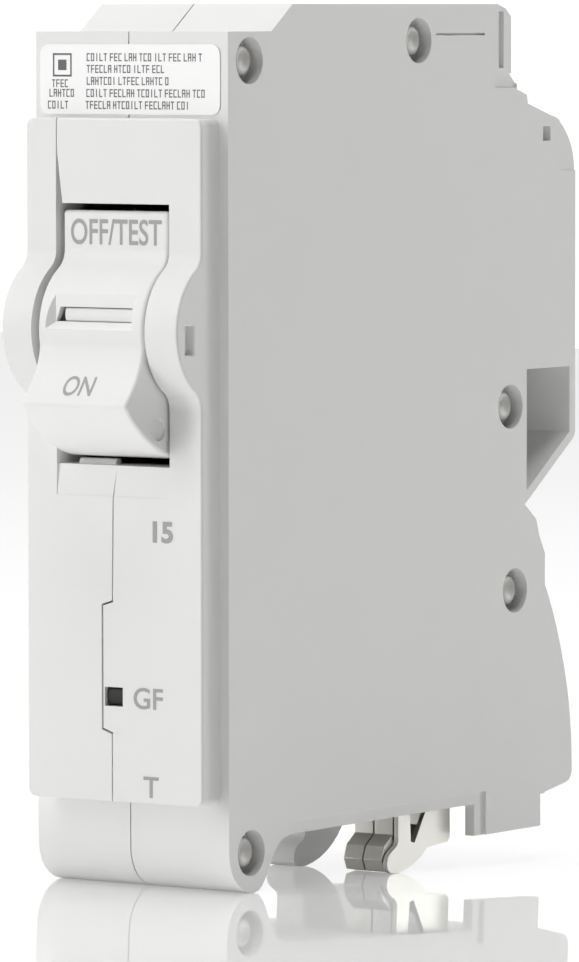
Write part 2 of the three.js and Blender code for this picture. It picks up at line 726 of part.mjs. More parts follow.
/** A through-rivet with a domed head at each end. */
function rivet(at) {
  const end = HALF - BORE_DEPTH + 0.06;
  const top = end + RIVET_HEAD_HEIGHT;
  const profile = [
    [0, -top],
    [RIVET_HEAD - 0.5, -top],
    [RIVET_HEAD, -top + 0.3],
    [RIVET_HEAD, -end],
    [RIVET_RADIUS, -end],
    [RIVET_RADIUS, end],
    [RIVET_HEAD, end],
    [RIVET_HEAD, top - 0.3],
    [RIVET_HEAD - 0.5, top],
    [0, top],
  ].map(([r, h]) => new THREE.Vector2(r, h));
  const geometry = new THREE.LatheGeometry(profile, 20);
  return solid(geometry.rotateZ(-Math.PI / 2).translate(0, ...at));
}

/** Front rating label with round corners. */
function ratingLabel() {
  const [z0, z1] = [PLATE_TOP + 0.35, LABEL_TOP - 1.35];
  const [x0, x1] = [-HALF + LABEL_INSET, HALF - LABEL_INSET - 0.3];
  const r = 1.1;
  return prismY(roundedRectangle(z0, z1, x0, x1, r), -LABEL_GAP - LABEL_THICK, -LABEL_GAP);
}

// ---- switching mechanism ---------------------------------------------------------------

/** Points of a line between two ends, offset square to it, as a bar outline. */
function barOutline([y0, z0], [y1, z1], width) {
  const along = new THREE.Vector2(y1 - y0, z1 - z0).normalize();
  const side = [-along.y * (width / 2), along.x * (width / 2)];
  return [
    [y0 - side[0], z0 - side[1]],
    [y1 - side[0], z1 - side[1]],
    [y1 + side[0], z1 + side[1]],
    [y0 + side[0], z0 + side[1]],
  ];
}

function contactArm() {
  const [x0, x1] = [ARM_X - ARM_WIDTH / 2, ARM_X + ARM_WIDTH / 2];
  const blade = prismX(barOutline(ARM_PIVOT, ARM_CONTACT, 4.2), x0, x1);
  const eye = rodX(3.2, x0, x1, ARM_PIVOT, 20);
  const tip = rodX(CONTACT_RADIUS + 0.6, x0, x1, ARM_CONTACT, 20);
  const bore = rodX(1.3 + SLIDE, x0 - 1, x1 + 1, ARM_PIVOT, 20);
  const springHole = rodX(0.9, x0 - 1, x1 + 1, [30, 61.9], 12);
  return cut(join(blade, eye, tip), bore, springHole);
}

const armPin = () => rodX(1.3, -HALF + WALL + CLEAR, SEAM_X + 0.6, ARM_PIVOT, 20);

/** The moving contact sits on the arm's upper edge near its tip. */
function movingContact() {
  const [y, z] = ARM_CONTACT;
  const base = z + CONTACT_RADIUS + 0.6 + SLIDE;
  return rodZ(CONTACT_RADIUS, base, base + CONTACT_THICK, [ARM_X, y], 20);
}

function fixedContact() {
  const [y, z] = ARM_CONTACT;
  const base = z + CONTACT_RADIUS + 0.6 + SLIDE + CONTACT_THICK + CLEAR;
  return rodZ(CONTACT_RADIUS, base, base + CONTACT_THICK, [ARM_X, y], 20);
}

/** Line conductor from the fixed contact over the arc chute and down to the jaw. */
function lineStrap() {
  const [y, z] = ARM_CONTACT;
  const level = z + CONTACT_RADIUS + 0.6 + 2 * CONTACT_THICK + SLIDE + 2 * CLEAR + 0.8;
  const line = [
    [y - 4, level],
    [NOTCH_Y + 5.05, level],
    [NOTCH_Y + 5.05, 55.2],
  ];
  return strip(line, 1.5, ARM_X - 2.6, ARM_X + 2.6);
}

/** The arc chute's fibre side board, at x0. */
const chuteBoard = (x0) => box(x0, x0 + 0.8, 47.6, 59.4, 56.6, 70.0);

/** One steel arc plate with a notch facing the contacts. */
function arcPlate(index) {
  const z = 57.6 + index * 2.35;
  const plate = box(-8.9, -0.9, 48.6, 58.6, z, z + 1);
  const notch = prismZ([[ARM_X - 1.9, 48], [ARM_X + 1.9, 48], [ARM_X, 53]], z - 1, z + 2);
  return cut(plate, notch);
}

/** The cradle: a latched lever from its pin to the armature. */
function cradle() {
  const [x0, x1] = [-8.8, -8.8 + CRADLE_THICK];
  const knee = [27.0, 67.5];
  const upper = prismX(barOutline(CRADLE_PIVOT, knee, 4.4), x0, x1);
  const lower = prismX(barOutline(knee, CRADLE_LATCH, 4.0), x0, x1);
  const bends = [CRADLE_PIVOT, knee].map((at, i) => rodX(i ? 2.2 : 3.2, x0, x1, at, 20));
  const bore = rodX(1.3 + SLIDE, x0 - 1, x1 + 1, CRADLE_PIVOT, 20);
  return cut(join(upper, lower, ...bends), bore);
}

const cradlePin = () => rodX(1.3, -HALF + WALL + CLEAR, -4.6, CRADLE_PIVOT, 20);

/** Armature with its latch ledge, hinged low on the magnet yoke. */
function armature() {
  const [y, z] = ARMATURE_PIVOT;
  const plate = box(-9.2, -1.6, y - 0.6, y + 0.6, z + 1.4, ARMATURE_TOP);
  const eye = rodX(1.5, -9.2, -1.6, ARMATURE_PIVOT, 16);
  const neck = box(-9.2, -1.6, y - 0.6, y + 0.6, z + 0.5, z + 1.5);
  const window = box(-6.6, -4.2, y - 2, y + 2, 30, 37);
  const bore = rodX(0.8 + SLIDE, -10, 0, ARMATURE_PIVOT, 16);
  return cut(join(plate, eye, neck), window, bore);
}

const armaturePin = () => rodX(0.8, -HALF + WALL + CLEAR, SEAM_X + 0.4, ARMATURE_PIVOT, 16);

/** U-shaped magnet yoke round the bimetal. */
function magnetYoke() {
  const [y0, y1] = [BIMETAL_Y - 5, BIMETAL_Y + 3.6];
  const yoke = box(-9.3, -1.5, y0, y1, 28.5, 39.5);
  const inside = box(-7.9, -2.9, y0 - 1, y1 - 1.4, 28, 40);
  return cut(yoke, inside);
}

const bimetal = () =>
  box(-7.2, -3.6, BIMETAL_Y - BIMETAL_THICK / 2, BIMETAL_Y + BIMETAL_THICK / 2, 15.2, BIMETAL_TOP);

/** Load conductor from the bimetal's foot through both sensing rings to the clip. */
function loadStrap() {
  const line = [
    [BIMETAL_Y - 1, TOROID_Z],
    [52.0, TOROID_Z],
    [52.0, 9.0],
    [CLIP_HEEL_Y + 1.2, 9.0],
  ];
  return strip(line, 1.2, ARM_X - 1.4, ARM_X + 1.4);
}

/** Bar that ties the load conductor's end to the clip. */
const clipBridge = () =>
  box(ARM_X + 1.7, CLIP_X - CLIP_PLATE - 0.3, CLIP_HEEL_Y + 1.0, CLIP_HEEL_Y + 3.0, 8.0, 10.5);

/** A round calibration screw through the bottom of the bimetal. */
const calibrationScrew = () =>
  join(
    rodY(1.0, BIMETAL_Y - 5.2, BIMETAL_Y - 0.5 - CLEAR, [ARM_X - 0.5, 20], 12),
    rodY(1.9, BIMETAL_Y - 6.6, BIMETAL_Y - 5.1, [ARM_X - 0.5, 20], 16),
  );

/** Copper braid from the arm's underside to the bimetal's top. */
function braid() {
  const line = curve([30.6, 47.5], [33.5, 53.5], [35.5, 47], [39.5, 52.6], 8);
  return strip([[30.4, 44.2], ...line], 1.6, ARM_X - 1.2, ARM_X + 1.2);
}

/** Toggle spring between cradle and arm. */
function toggleSpring() {
  const start = vector(-2.3, 16.4, 70.6);
  const end = vector(-2.3, 28.6, 63.2);
  const axis = end.clone().sub(start);
  return coil(start, axis, axis.length(), 1.1, 0.5, 9);
}

// ---- ground fault electronics ----------------------------------------------------------

/** Insulating barrier between the mechanism and the circuit board. */
function barrier() {
  const board = box(BARRIER_X, BARRIER_X + BARRIER_THICK, 8.0, 50.8, 8.2, 70.0);
  const ports = [
    box(0, 5, CLIP_HEEL_Y - 0.4, 52, 7, 11.3),
    box(0, 5, 24.4, 30.0, 55.0, 60.0),
  ];
  return cut(board, ...ports);
}

const BOARD_X = BARRIER_X + BARRIER_THICK + 0.7;
const PART_X = BOARD_X + BOARD_THICK + SLIDE;

const circuitBoard = () =>
  cut(
    box(BOARD_X, BOARD_X + BOARD_THICK, ...BOARD_Y, ...BOARD_Z),
    rodX(1.5, BOARD_X - 1, PART_X + 1, [BOARD_Y[0] + 3, BOARD_Z[0] + 3], 16),
    rodX(1.5, BOARD_X - 1, PART_X + 1, [BOARD_Y[1] - 3, BOARD_Z[1] - 3], 16),
  );

function chip() {
  const moulding = box(PART_X + 0.3, PART_X + 1.9, 26, 36, 30, 34);
  const pins = [0, 1, 2, 3].flatMap((i) => [
    box(PART_X, PART_X + 1.0, 27 + i * 2.3, 27.5 + i * 2.3, 29, 30.2),
    box(PART_X, PART_X + 1.0, 27 + i * 2.3, 27.5 + i * 2.3, 33.8, 35),
  ]);
  return join(moulding, ...pins);
}

const capacitor = () => rodX(3.0, PART_X, HALF - WALL - 0.4, [19, 41], 24);
const varistor = () => rodX(4.2, PART_X, PART_X + 3.4, [43, 42.5], 28);
const thyristor = () => join(
  box(PART_X, PART_X + 3.4, 28, 32.6, 41, 45.6),
  box(PART_X, PART_X + 1.0, 32.6, 34.6, 41.6, 45.0),
);
const resistor = () => join(
  rodY(1.2, 15, 21.4, [PART_X + 1.4, 24], 14),
  rodY(0.4, 13.6, 22.8, [PART_X + 1.4, 24], 10),
);
const diode = () => rodY(1.3, 39, 45, [PART_X + 1.5, 24], 14);

/** A sensing ring wound on a core, round the load conductor. */
function toroid(y0) {
  const r = 0.5;
  const profile = [
    [TOROID_BORE + r, 0],
    [TOROID_RADIUS - r, 0],
    [TOROID_RADIUS, r],
    [TOROID_RADIUS, TOROID_THICK - r],
    [TOROID_RADIUS - r, TOROID_THICK],
    [TOROID_BORE + r, TOROID_THICK],
    [TOROID_BORE, TOROID_THICK - r],
    [TOROID_BORE, r],
    [TOROID_BORE + r, 0],
  ].map(([radius, h]) => new THREE.Vector2(radius, h));
  const geometry = new THREE.LatheGeometry(profile, 28);
  return solid(geometry.translate(0, y0, 0).translate(ARM_X, 0, TOROID_Z));
}

function solenoidFrame() {
  const [y0, y1] = SOLENOID_Y;
  const wall = 1.2;
  const half = SOLENOID_RADIUS + CLEAR;
  const frame = box(-half, half, y0 - wall - CLEAR, y1 + wall + CLEAR, SOLENOID_Z - half - wall,
    SOLENOID_Z + half);
  const inside = box(-half - 1, half + 1, y0 - CLEAR, y1 + CLEAR, SOLENOID_Z - half,
    SOLENOID_Z + half + 1);
  const throat = rodY(PLUNGER_RADIUS + CLEAR, y0 - 5, y0 + 2, [0, SOLENOID_Z], 20);
  return cut(frame, inside, throat);
}

function solenoidCoil() {
  const [y0, y1] = SOLENOID_Y;
  const bore = PLUNGER_RADIUS + CLEAR;
  const flange = SOLENOID_RADIUS;
  const wound = SOLENOID_RADIUS - 0.7;
  const profile = [
    [bore, 0],
    [flange, 0],
    [flange, 1],
    [wound, 1],
    [wound, y1 - y0 - 1],
    [flange, y1 - y0 - 1],
    [flange, y1 - y0],
    [bore, y1 - y0],
    [bore, 0],
  ].map(([radius, h]) => new THREE.Vector2(radius, h));
  const geometry = new THREE.LatheGeometry(profile, 24);
  return solid(geometry.translate(0, y0, SOLENOID_Z));
}

/** Plunger whose nose stands in front of the frame to strike the trip lever. */
function plunger() {
  const [y0, y1] = SOLENOID_Y;
  const body = rodY(PLUNGER_RADIUS, y0 - 1, y1 - 2.2, [0, SOLENOID_Z], 20);
  const nose = rodY(0.8, y0 - PLUNGER_NOSE, y0, [0, SOLENOID_Z], 12);
  const collar = rodY(PLUNGER_RADIUS, y0 - PLUNGER_NOSE, y0 - PLUNGER_NOSE + 0.5, [0, SOLENOID_Z], 20);
  return join(body, nose, collar);
}

/** Return spring round the plunger's nose. */
function plungerSpring() {
  const start = vector(0, SOLENOID_Y[0] - PLUNGER_NOSE + 0.8, SOLENOID_Z);
  return coil(start, vector(0, 1, 0), 1.9, 1.25, 0.35, 3);
}

/** Return spring that holds the armature off the yoke. */
function armatureSpring() {
  const start = vector(-8.6, ARMATURE_PIVOT[0] + 0.95, 34);
  return coil(start, vector(0, 1, 0), BIMETAL_Y - 5 - ARMATURE_PIVOT[0] - 1.4, 0.6, 0.3, 5);
}

/** Trip lever hung from its pin in front of the plunger. */
function tripLever() {
  const [y, z] = TRIP_PIVOT;
  const blade = box(-3, 3, y - 0.8, y + 0.8, SOLENOID_Z - 3.2, z);
  const eye = rodX(2.0, -3, 3, TRIP_PIVOT, 18);
  const bore = rodX(0.9 + SLIDE, -4, 4, TRIP_PIVOT, 14);
  return cut(join(blade, eye), bore);
}

const tripPin = () => rodX(0.9, -HALF + WALL + CLEAR, HALF - WALL - CLEAR, TRIP_PIVOT, 14);

/** Flag behind its window in the faceplate, on a lever of its own. */
function flag() {
  const [x0, x1] = [FLAG_LEFT - 0.1, FLAG_LEFT + FLAG_WIDTH + 0.1];
  const face = box(x0, x1, 2.1, 3.1, FLAG_TOP - FLAG_HEIGHT - 1.4, FLAG_TOP + 3.4);
  const stem = prismX(barOutline([2.6, FLAG_TOP + 2.6], FLAG_PIVOT, 1.4), x0 + 0.6, x1 - 0.6);
  const eye = rodX(1.7, x0 + 0.6, x1 - 0.6, FLAG_PIVOT, 16);
  const bore = rodX(0.8 + SLIDE, x0 - 1, x1 + 1, FLAG_PIVOT, 14);
  return cut(join(face, stem, eye), bore);
}

const flagPin = () => rodX(0.8, FLAG_LEFT - 3, FLAG_LEFT + FLAG_WIDTH + 0.3, FLAG_PIVOT, 14);

/** Spring wire that the handle presses to start the self test. */
function testSpring() {
  const line = [
    [11.6, 60.0],
    [8.2, 66.0],
    [7.9, 71.0],
    [9.4, 73.4],
  ];
  return strip(line, 0.6, 4.0, 6.4);
}

// ---- assembly ----------------------------------------------------------------------------

const assembly = new THREE.Group();

assembly.add(mesh("right_housing", rightHousing(), WHITE_PLASTIC));
assembly.add(mesh("left_housing", leftHousing(), WHITE_PLASTIC));
assembly.add(mesh("handle", handle(), HANDLE_PLASTIC));
assembly.add(mesh("status_bar", statusBar(), LENS));
for (const [name, at] of Object.entries(RIVETS)) {
  assembly.add(mesh(name, rivet(at), STEEL));
}
assembly.add(mesh("rating_label", ratingLabel(), PAPER));

assembly.add(mesh("clip_side_plate", clipPlate(), TIN_PLATE));
const fingerX = CLIP_X - CLIP_PLATE - CLEAR / 2 - CLIP_FINGER;
assembly.add(mesh("clip_near_finger", clipFinger(fingerX), TIN_PLATE));
assembly.add(mesh("clip_far_finger", clipFinger(fingerX - CLEAR / 2 - CLIP_FINGER), TIN_PLATE));
assembly.add(mesh("line_jaw", lineJaw(), COPPER));
assembly.add(mesh("line_jaw_spring", jawSpring(), STEEL));
assembly.add(mesh("line_strap", lineStrap(), COPPER));
assembly.add(mesh("fixed_contact", fixedContact(), SILVER));
assembly.add(mesh("moving_contact", movingContact(), SILVER));
assembly.add(mesh("contact_arm", contactArm(), COPPER));
assembly.add(mesh("contact_arm_pin", armPin(), STEEL));
assembly.add(mesh("cradle", cradle(), STEEL));
assembly.add(mesh("cradle_pin", cradlePin(), STEEL));
assembly.add(mesh("toggle_spring", toggleSpring(), STEEL));

assembly.add(mesh("arc_chute_left_board", chuteBoard(-10.4), FIBRE));
assembly.add(mesh("arc_chute_right_board", chuteBoard(-0.3), FIBRE));
for (let i = 0; i < 4; i++) {
  assembly.add(mesh(`arc_plate_${i + 1}`, arcPlate(i), STEEL));
}

assembly.add(mesh("armature", armature(), STEEL));
assembly.add(mesh("armature_pin", armaturePin(), STEEL));
assembly.add(mesh("armature_spring", armatureSpring(), STEEL));
assembly.add(mesh("magnet_yoke", magnetYoke(), STEEL));
assembly.add(mesh("bimetal", bimetal(), BIMETAL_STEEL));
assembly.add(mesh("calibration_screw", calibrationScrew(), STEEL));
assembly.add(mesh("braid", braid(), COPPER));
assembly.add(mesh("load_strap", loadStrap(), COPPER));
assembly.add(mesh("clip_bridge", clipBridge(), COPPER));

assembly.add(mesh("barrier", barrier(), FIBRE));
assembly.add(mesh("circuit_board", circuitBoard(), GREEN_BOARD));
assembly.add(mesh("sensing_chip", chip(), BLACK_PLASTIC));
assembly.add(mesh("capacitor", capacitor(), BLACK_PLASTIC));
assembly.add(mesh("varistor", varistor(), BLUE_DISC));
assembly.add(mesh("thyristor", thyristor(), BLACK_PLASTIC));
assembly.add(mesh("resistor", resistor(), FIBRE));
assembly.add(mesh("diode", diode(), BLACK_PLASTIC));
assembly.add(mesh("sensing_ring", toroid(35.0), FERRITE));
assembly.add(mesh("grounded_neutral_ring", toroid(41.0), FERRITE));
assembly.add(mesh("solenoid_frame", solenoidFrame(), STEEL));
assembly.add(mesh("solenoid_coil", solenoidCoil(), RED_ENAMEL));
assembly.add(mesh("solenoid_plunger", plunger(), STEEL));
assembly.add(mesh("plunger_spring", plungerSpring(), STEEL));
assembly.add(mesh("trip_lever", tripLever(), BLACK_PLASTIC));
assembly.add(mesh("trip_lever_pin", tripPin(), STEEL));
assembly.add(mesh("fault_flag", flag(), BLACK_PLASTIC));
assembly.add(mesh("fault_flag_pin", flagPin(), STEEL));
assembly.add(mesh("test_spring", testSpring(), STEEL));

// The reference point is the middle of the object's box, at its lowest point.
const lipReach = SKIRT_RADIUS * Math.cos(THREE.MathUtils.degToRad(LIP_ANGLE));
assembly.position.set(0, -(lipReach + BODY_DEPTH) / 2, HOOK_DROP);

const part = new THREE.Group();
part.add(assembly);

export default part;
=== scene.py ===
"""One-pole ground fault circuit breaker: the looks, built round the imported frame.

Sizes are in millimetres in each class and are turned into metres where a mesh is made. Places
are measured from the case's datum: mid-width, the front plane of the case, and the underside of
the front foot.
"""

import json
import logging
import math
from collections.abc import Callable, Iterable, Sequence
from dataclasses import dataclass, field
from enum import Enum

import bmesh
import bpy
from mathutils import Matrix, Vector

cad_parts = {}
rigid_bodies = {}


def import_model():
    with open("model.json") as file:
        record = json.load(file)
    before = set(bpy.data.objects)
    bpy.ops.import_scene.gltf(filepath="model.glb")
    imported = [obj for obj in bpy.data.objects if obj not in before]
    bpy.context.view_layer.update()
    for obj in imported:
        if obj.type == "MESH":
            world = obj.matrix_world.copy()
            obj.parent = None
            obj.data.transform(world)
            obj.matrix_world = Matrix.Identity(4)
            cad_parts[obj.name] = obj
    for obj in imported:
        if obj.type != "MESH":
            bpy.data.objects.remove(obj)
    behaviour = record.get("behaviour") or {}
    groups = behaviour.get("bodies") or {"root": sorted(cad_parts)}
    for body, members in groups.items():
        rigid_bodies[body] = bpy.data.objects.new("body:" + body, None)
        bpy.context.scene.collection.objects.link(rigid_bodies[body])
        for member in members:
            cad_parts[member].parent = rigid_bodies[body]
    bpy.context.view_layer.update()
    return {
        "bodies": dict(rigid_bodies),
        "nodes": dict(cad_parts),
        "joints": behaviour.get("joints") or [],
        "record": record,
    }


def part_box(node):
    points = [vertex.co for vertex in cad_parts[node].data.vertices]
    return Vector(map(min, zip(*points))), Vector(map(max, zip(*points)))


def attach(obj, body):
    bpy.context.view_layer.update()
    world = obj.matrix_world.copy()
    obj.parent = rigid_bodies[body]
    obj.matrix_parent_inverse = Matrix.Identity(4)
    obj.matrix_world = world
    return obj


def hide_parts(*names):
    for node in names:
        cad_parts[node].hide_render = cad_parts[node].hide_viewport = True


MM = 0.001
SHARP = math.radians(32)  # edges that turn more than this are sharp
NEAR = 0.02  # millimetres within which a place counts as being on a plane
LOG = logging.getLogger("breaker")

Point = tuple[float, float]
Colour = tuple[float, float, float]


# ---- datum ---------------------------------------------------------------------------


@dataclass(frozen=True)
class Datum:
    """Where the case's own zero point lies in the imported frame, in metres."""

    origin: Vector

    def at(self, x: float, y: float, z: float) -> Vector:
        """Gives the frame position of a place on the case.

        Args:
            x: Sideways from mid-width, in millimetres.
            y: Back from the front plane, in millimetres.
            z: Up from the underside of the front foot, in millimetres.

        Returns:
            The position in metres.
        """
        return self.origin + Vector((x, y, z)) * MM

    def local(self, point: Vector) -> Vector:
        """Gives a frame position as millimetres from the datum."""
        return (point - self.origin) / MM


def find_datum(label_gap: float = 0.02) -> Datum:
    """Finds the datum from the label's back and the right half's lowest point.

    Args:
        label_gap: Gap between the label and the case, in millimetres.

    Returns:
        The datum.
    """
    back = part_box("rating_label")[1].y + label_gap * MM
    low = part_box("right_housing")[0].z
    return Datum(Vector((0.0, back, low)))


# ---- finishes ------------------------------------------------------------------------


class NodeSheet:
    """A small helper that lays out the nodes of one material."""

    def __init__(self, name: str) -> None:
        """Starts a material with one Principled shader."""
        self.material = bpy.data.materials.new(name)
        self.material.use_nodes = True
        self.tree = self.material.node_tree
        self.shader = self.tree.nodes["Principled BSDF"]

    def node(self, kind: str, **values: object) -> bpy.types.Node:
        """Adds a node.

        Args:
            kind: The node's type name.
            **values: Socket names, with _ for a space, or node properties.

        Returns:
            The new node.
        """
        made = self.tree.nodes.new(kind)
        for key, value in values.items():
            socket = made.inputs.get(key.replace("_", " "))
            if socket is not None:
                socket.default_value = value
            else:
                setattr(made, key, value)
        return made

    def link(self, source: bpy.types.NodeSocket, target: bpy.types.NodeSocket) -> None:
        """Joins two sockets."""
        self.tree.links.new(source, target)

    def set(self, **values: object) -> None:
        """Sets constants on the shader's own sockets."""
        for key, value in values.items():
            self.shader.inputs[key.replace("_", " ")].default_value = value

    def place(self) -> bpy.types.NodeSocket:
        """Gives object coordinates, which don't slide over a moving piece."""
        return self.node("ShaderNodeTexCoord").outputs["Object"]

    def noise(self, scale: float, detail: float = 3.0, rough: float = 0.55) -> bpy.types.Node:
        """Adds a noise texture in object space."""
        made = self.node("ShaderNodeTexNoise", Scale=scale, Detail=detail, Roughness=rough)
        self.link(self.place(), made.inputs["Vector"])
        return made

    def stretch(self, axis: int, factor: float, scale: float) -> bpy.types.Node:
        """Adds noise drawn out along one axis, such as rolling or brushing lines."""
        mapping = self.node("ShaderNodeMapping")
        mapping.inputs["Scale"].default_value[axis] = factor
        self.link(self.place(), mapping.inputs["Vector"])
        made = self.node("ShaderNodeTexNoise", Scale=scale, Detail=4.0, Roughness=0.6)
        self.link(mapping.outputs["Vector"], made.inputs["Vector"])
        return made

    def ramp(self, source: bpy.types.NodeSocket, low: float, high: float,
             target: bpy.types.NodeSocket) -> None:
        """Maps a 0 to 1 value to a range and feeds it to a socket."""
        made = self.node("ShaderNodeMapRange")
        made.inputs["To Min"].default_value = low
        made.inputs["To Max"].default_value = high
        self.link(source, made.inputs["Value"])
        self.link(made.outputs["Result"], target)

    def tint(self, source: bpy.types.NodeSocket, dark: Colour, light: Colour) -> None:
        """Mixes the base colour between two colours by a value."""
        mix = self.node("ShaderNodeMix", data_type="RGBA")
        mix.inputs["A"].default_value = (*dark, 1.0)
        mix.inputs["B"].default_value = (*light, 1.0)
        self.link(source, mix.inputs["Factor"])
        self.link(mix.outputs["Result"], self.shader.inputs["Base Color"])

    def bump(self, height: bpy.types.NodeSocket, strength: float, distance: float,
             under: bpy.types.NodeSocket | None = None) -> bpy.types.NodeSocket:
        """Adds a bump in metres and feeds it to the shader's normal.

        Args:
            height: The height value.
            strength: How much of the bump shows.
            distance: The height of a full step, in metres.
            under: The normal of a coarser bump below this one.

        Returns:
            The bump's normal, for a finer bump on top.
        """
        made = self.node("ShaderNodeBump", Strength=strength, Distance=distance)
        self.link(height, made.inputs["Height"])
        if under is not None:
            self.link(under, made.inputs["Normal"])
        self.link(made.outputs["Normal"], self.shader.inputs["Normal"])
        return made.outputs["Normal"]


@dataclass(frozen=True)
class MouldedPlastic:
    """Moulded plastic: a fine spark-eroded grain over slow flow marks."""

    name: str
    colour: Colour
    roughness: float = 0.42
    grain: float = 0.006
    grain_scale: float = 5200.0
    mottle: float = 0.02
    shine: float = 0.28

    def build(self) -> bpy.types.Material:
        """Makes the material."""
        sheet = NodeSheet(self.name)
        sheet.set(Specular_IOR_Level=self.shine, IOR=1.5)
        slow = sheet.noise(90.0, 4.0)
        fine = sheet.noise(self.grain_scale, 2.0, 0.7)
        dark = tuple(c * (1 - self.mottle) for c in self.colour)
        light = tuple(min(1.0, c * (1 + self.mottle)) for c in self.colour)
        sheet.tint(slow.outputs["Fac"], dark, light)
        sheet.ramp(fine.outputs["Fac"], self.roughness - 0.06, self.roughness + 0.08,
                   sheet.shader.inputs["Roughness"])
        under = sheet.bump(slow.outputs["Fac"], 0.35, 0.00003)
        sheet.bump(fine.outputs["Fac"], 0.5, self.grain * MM, under)
        return sheet.material


@dataclass(frozen=True)
class PlatedMetal:
    """Rolled or plated metal: drawn-out lines, soft stains and small pits."""

    name: str
    colour: Colour
    roughness: float = 0.34
    lines_axis: int = 2
    stain: Colour = (0.30, 0.29, 0.26)
    stain_share: float = 0.25

    def build(self) -> bpy.types.Material:
        """Makes the material."""
        sheet = NodeSheet(self.name)
        sheet.set(Metallic=1.0)
        lines = sheet.stretch(self.lines_axis, 0.06, 2600.0)
        blotch = sheet.noise(420.0, 5.0, 0.65)
        mid = tuple(c * (1 - self.stain_share) + s * self.stain_share
                    for c, s in zip(self.colour, self.stain, strict=True))
        sheet.tint(blotch.outputs["Fac"], mid, self.colour)
        sheet.ramp(blotch.outputs["Fac"], self.roughness + 0.16, self.roughness - 0.06,
                   sheet.shader.inputs["Roughness"])
        under = sheet.bump(blotch.outputs["Fac"], 0.4, 0.00002)
        sheet.bump(lines.outputs["Fac"], 0.45, 0.000008, under)
        return sheet.material


@dataclass(frozen=True)
class CoatedPaper:
    """Coated label stock: smooth, faintly fibrous, with a soft gloss."""

    name: str
    colour: Colour
    roughness: float = 0.3

    def build(self) -> bpy.types.Material:
        """Makes the material."""
        sheet = NodeSheet(self.name)
        sheet.set(Specular_IOR_Level=0.5, Coat_Weight=0.15, Coat_Roughness=0.2)
        fibre = sheet.stretch(0, 0.3, 1800.0)
        slow = sheet.noise(160.0, 2.0)
        sheet.tint(slow.outputs["Fac"], tuple(c * 0.985 for c in self.colour), self.colour)
        sheet.ramp(fibre.outputs["Fac"], self.roughness - 0.04, self.roughness + 0.08,
                   sheet.shader.inputs["Roughness"])
        sheet.bump(fibre.outputs["Fac"], 0.25, 0.000004)
        return sheet.material


@dataclass(frozen=True)
class PrintedInk:
    """Pad-printed ink: one colour that is a little thin in places."""

    name: str
    colour: Colour
    thin: float = 0.18
    roughness: float = 0.5

    def build(self) -> bpy.types.Material:
        """Makes the material."""
        sheet = NodeSheet(self.name)
        speck = sheet.noise(3800.0, 3.0, 0.7)
        light = tuple(c + (0.8 - c) * self.thin for c in self.colour)
        sheet.tint(speck.outputs["Fac"], self.colour, light)
        sheet.ramp(speck.outputs["Fac"], self.roughness - 0.1, self.roughness + 0.1,
                   sheet.shader.inputs["Roughness"])
        return sheet.material


@dataclass(frozen=True)
class WoundWire:
    """Enamelled wire or tape wound side by side: close ridges across the axis."""

    name: str
    colour: Colour
    gap: Colour
    pitch: float = 0.35
    bands: str = "Y"

    def build(self) -> bpy.types.Material:
        """Makes the material."""
        sheet = NodeSheet(self.name)
        sheet.set(Coat_Weight=0.4, Coat_Roughness=0.15)
        wave = sheet.node("ShaderNodeTexWave", Scale=1.0 / (self.pitch * MM) / 3.3,
                          bands_direction=self.bands, Distortion=0.6)
        sheet.link(sheet.place(), wave.inputs["Vector"])
        sheet.tint(wave.outputs["Fac"], self.gap, self.colour)
        sheet.ramp(wave.outputs["Fac"], 0.55, 0.25, sheet.shader.inputs["Roughness"])
        sheet.bump(wave.outputs["Fac"], 0.8, 0.00006)
        return sheet.material


@dataclass(frozen=True)
class PressedFibre:
    """Vulcanised fibre or laminate: warm, matt and lightly flecked."""

    name: str
    colour: Colour
    fleck: Colour

    def build(self) -> bpy.types.Material:
        """Makes the material."""
        sheet = NodeSheet(self.name)
        fleck = sheet.stretch(2, 0.25, 1500.0)
        sheet.tint(fleck.outputs["Fac"], self.fleck, self.colour)
        sheet.ramp(fleck.outputs["Fac"], 0.85, 0.65, sheet.shader.inputs["Roughness"])
        sheet.bump(fleck.outputs["Fac"], 0.5, 0.00002)
        return sheet.material


@dataclass(frozen=True)
class StudioSurface:
    """The lit white table top: bright by itself, with a partial mirror image."""

    name: str = "table_top"
    glow: float = 0.25
    seen_glow: float = 0.78
    mirror: float = 0.52
    seen_mirror: float = 0.7

    def build(self) -> bpy.types.Material:
        """Makes the material."""
        sheet = NodeSheet(self.name)
        sheet.set(Roughness=0.5, Specular_IOR_Level=0.0)
        sheet.set(Emission_Color=(1.0, 1.0, 1.0, 1.0))
        path = sheet.node("ShaderNodeLightPath")
        sheet.ramp(path.outputs["Is Camera Ray"], self.glow, self.seen_glow,
                   sheet.shader.inputs["Emission Strength"])
        slow = sheet.noise(4.0, 2.0)
        sheet.tint(slow.outputs["Fac"], (0.64, 0.64, 0.64), (0.65, 0.65, 0.65))
        image = sheet.node("ShaderNodeBsdfGlossy", Roughness=0.015)
        mix = sheet.node("ShaderNodeMixShader")
        sheet.ramp(path.outputs["Is Camera Ray"], self.mirror, self.seen_mirror,
                   mix.inputs["Fac"])
        sheet.link(sheet.shader.outputs["BSDF"], mix.inputs[1])
        sheet.link(image.outputs["BSDF"], mix.inputs[2])
        sheet.link(mix.outputs["Shader"], sheet.tree.nodes["Material Output"].inputs["Surface"])
        return sheet.material


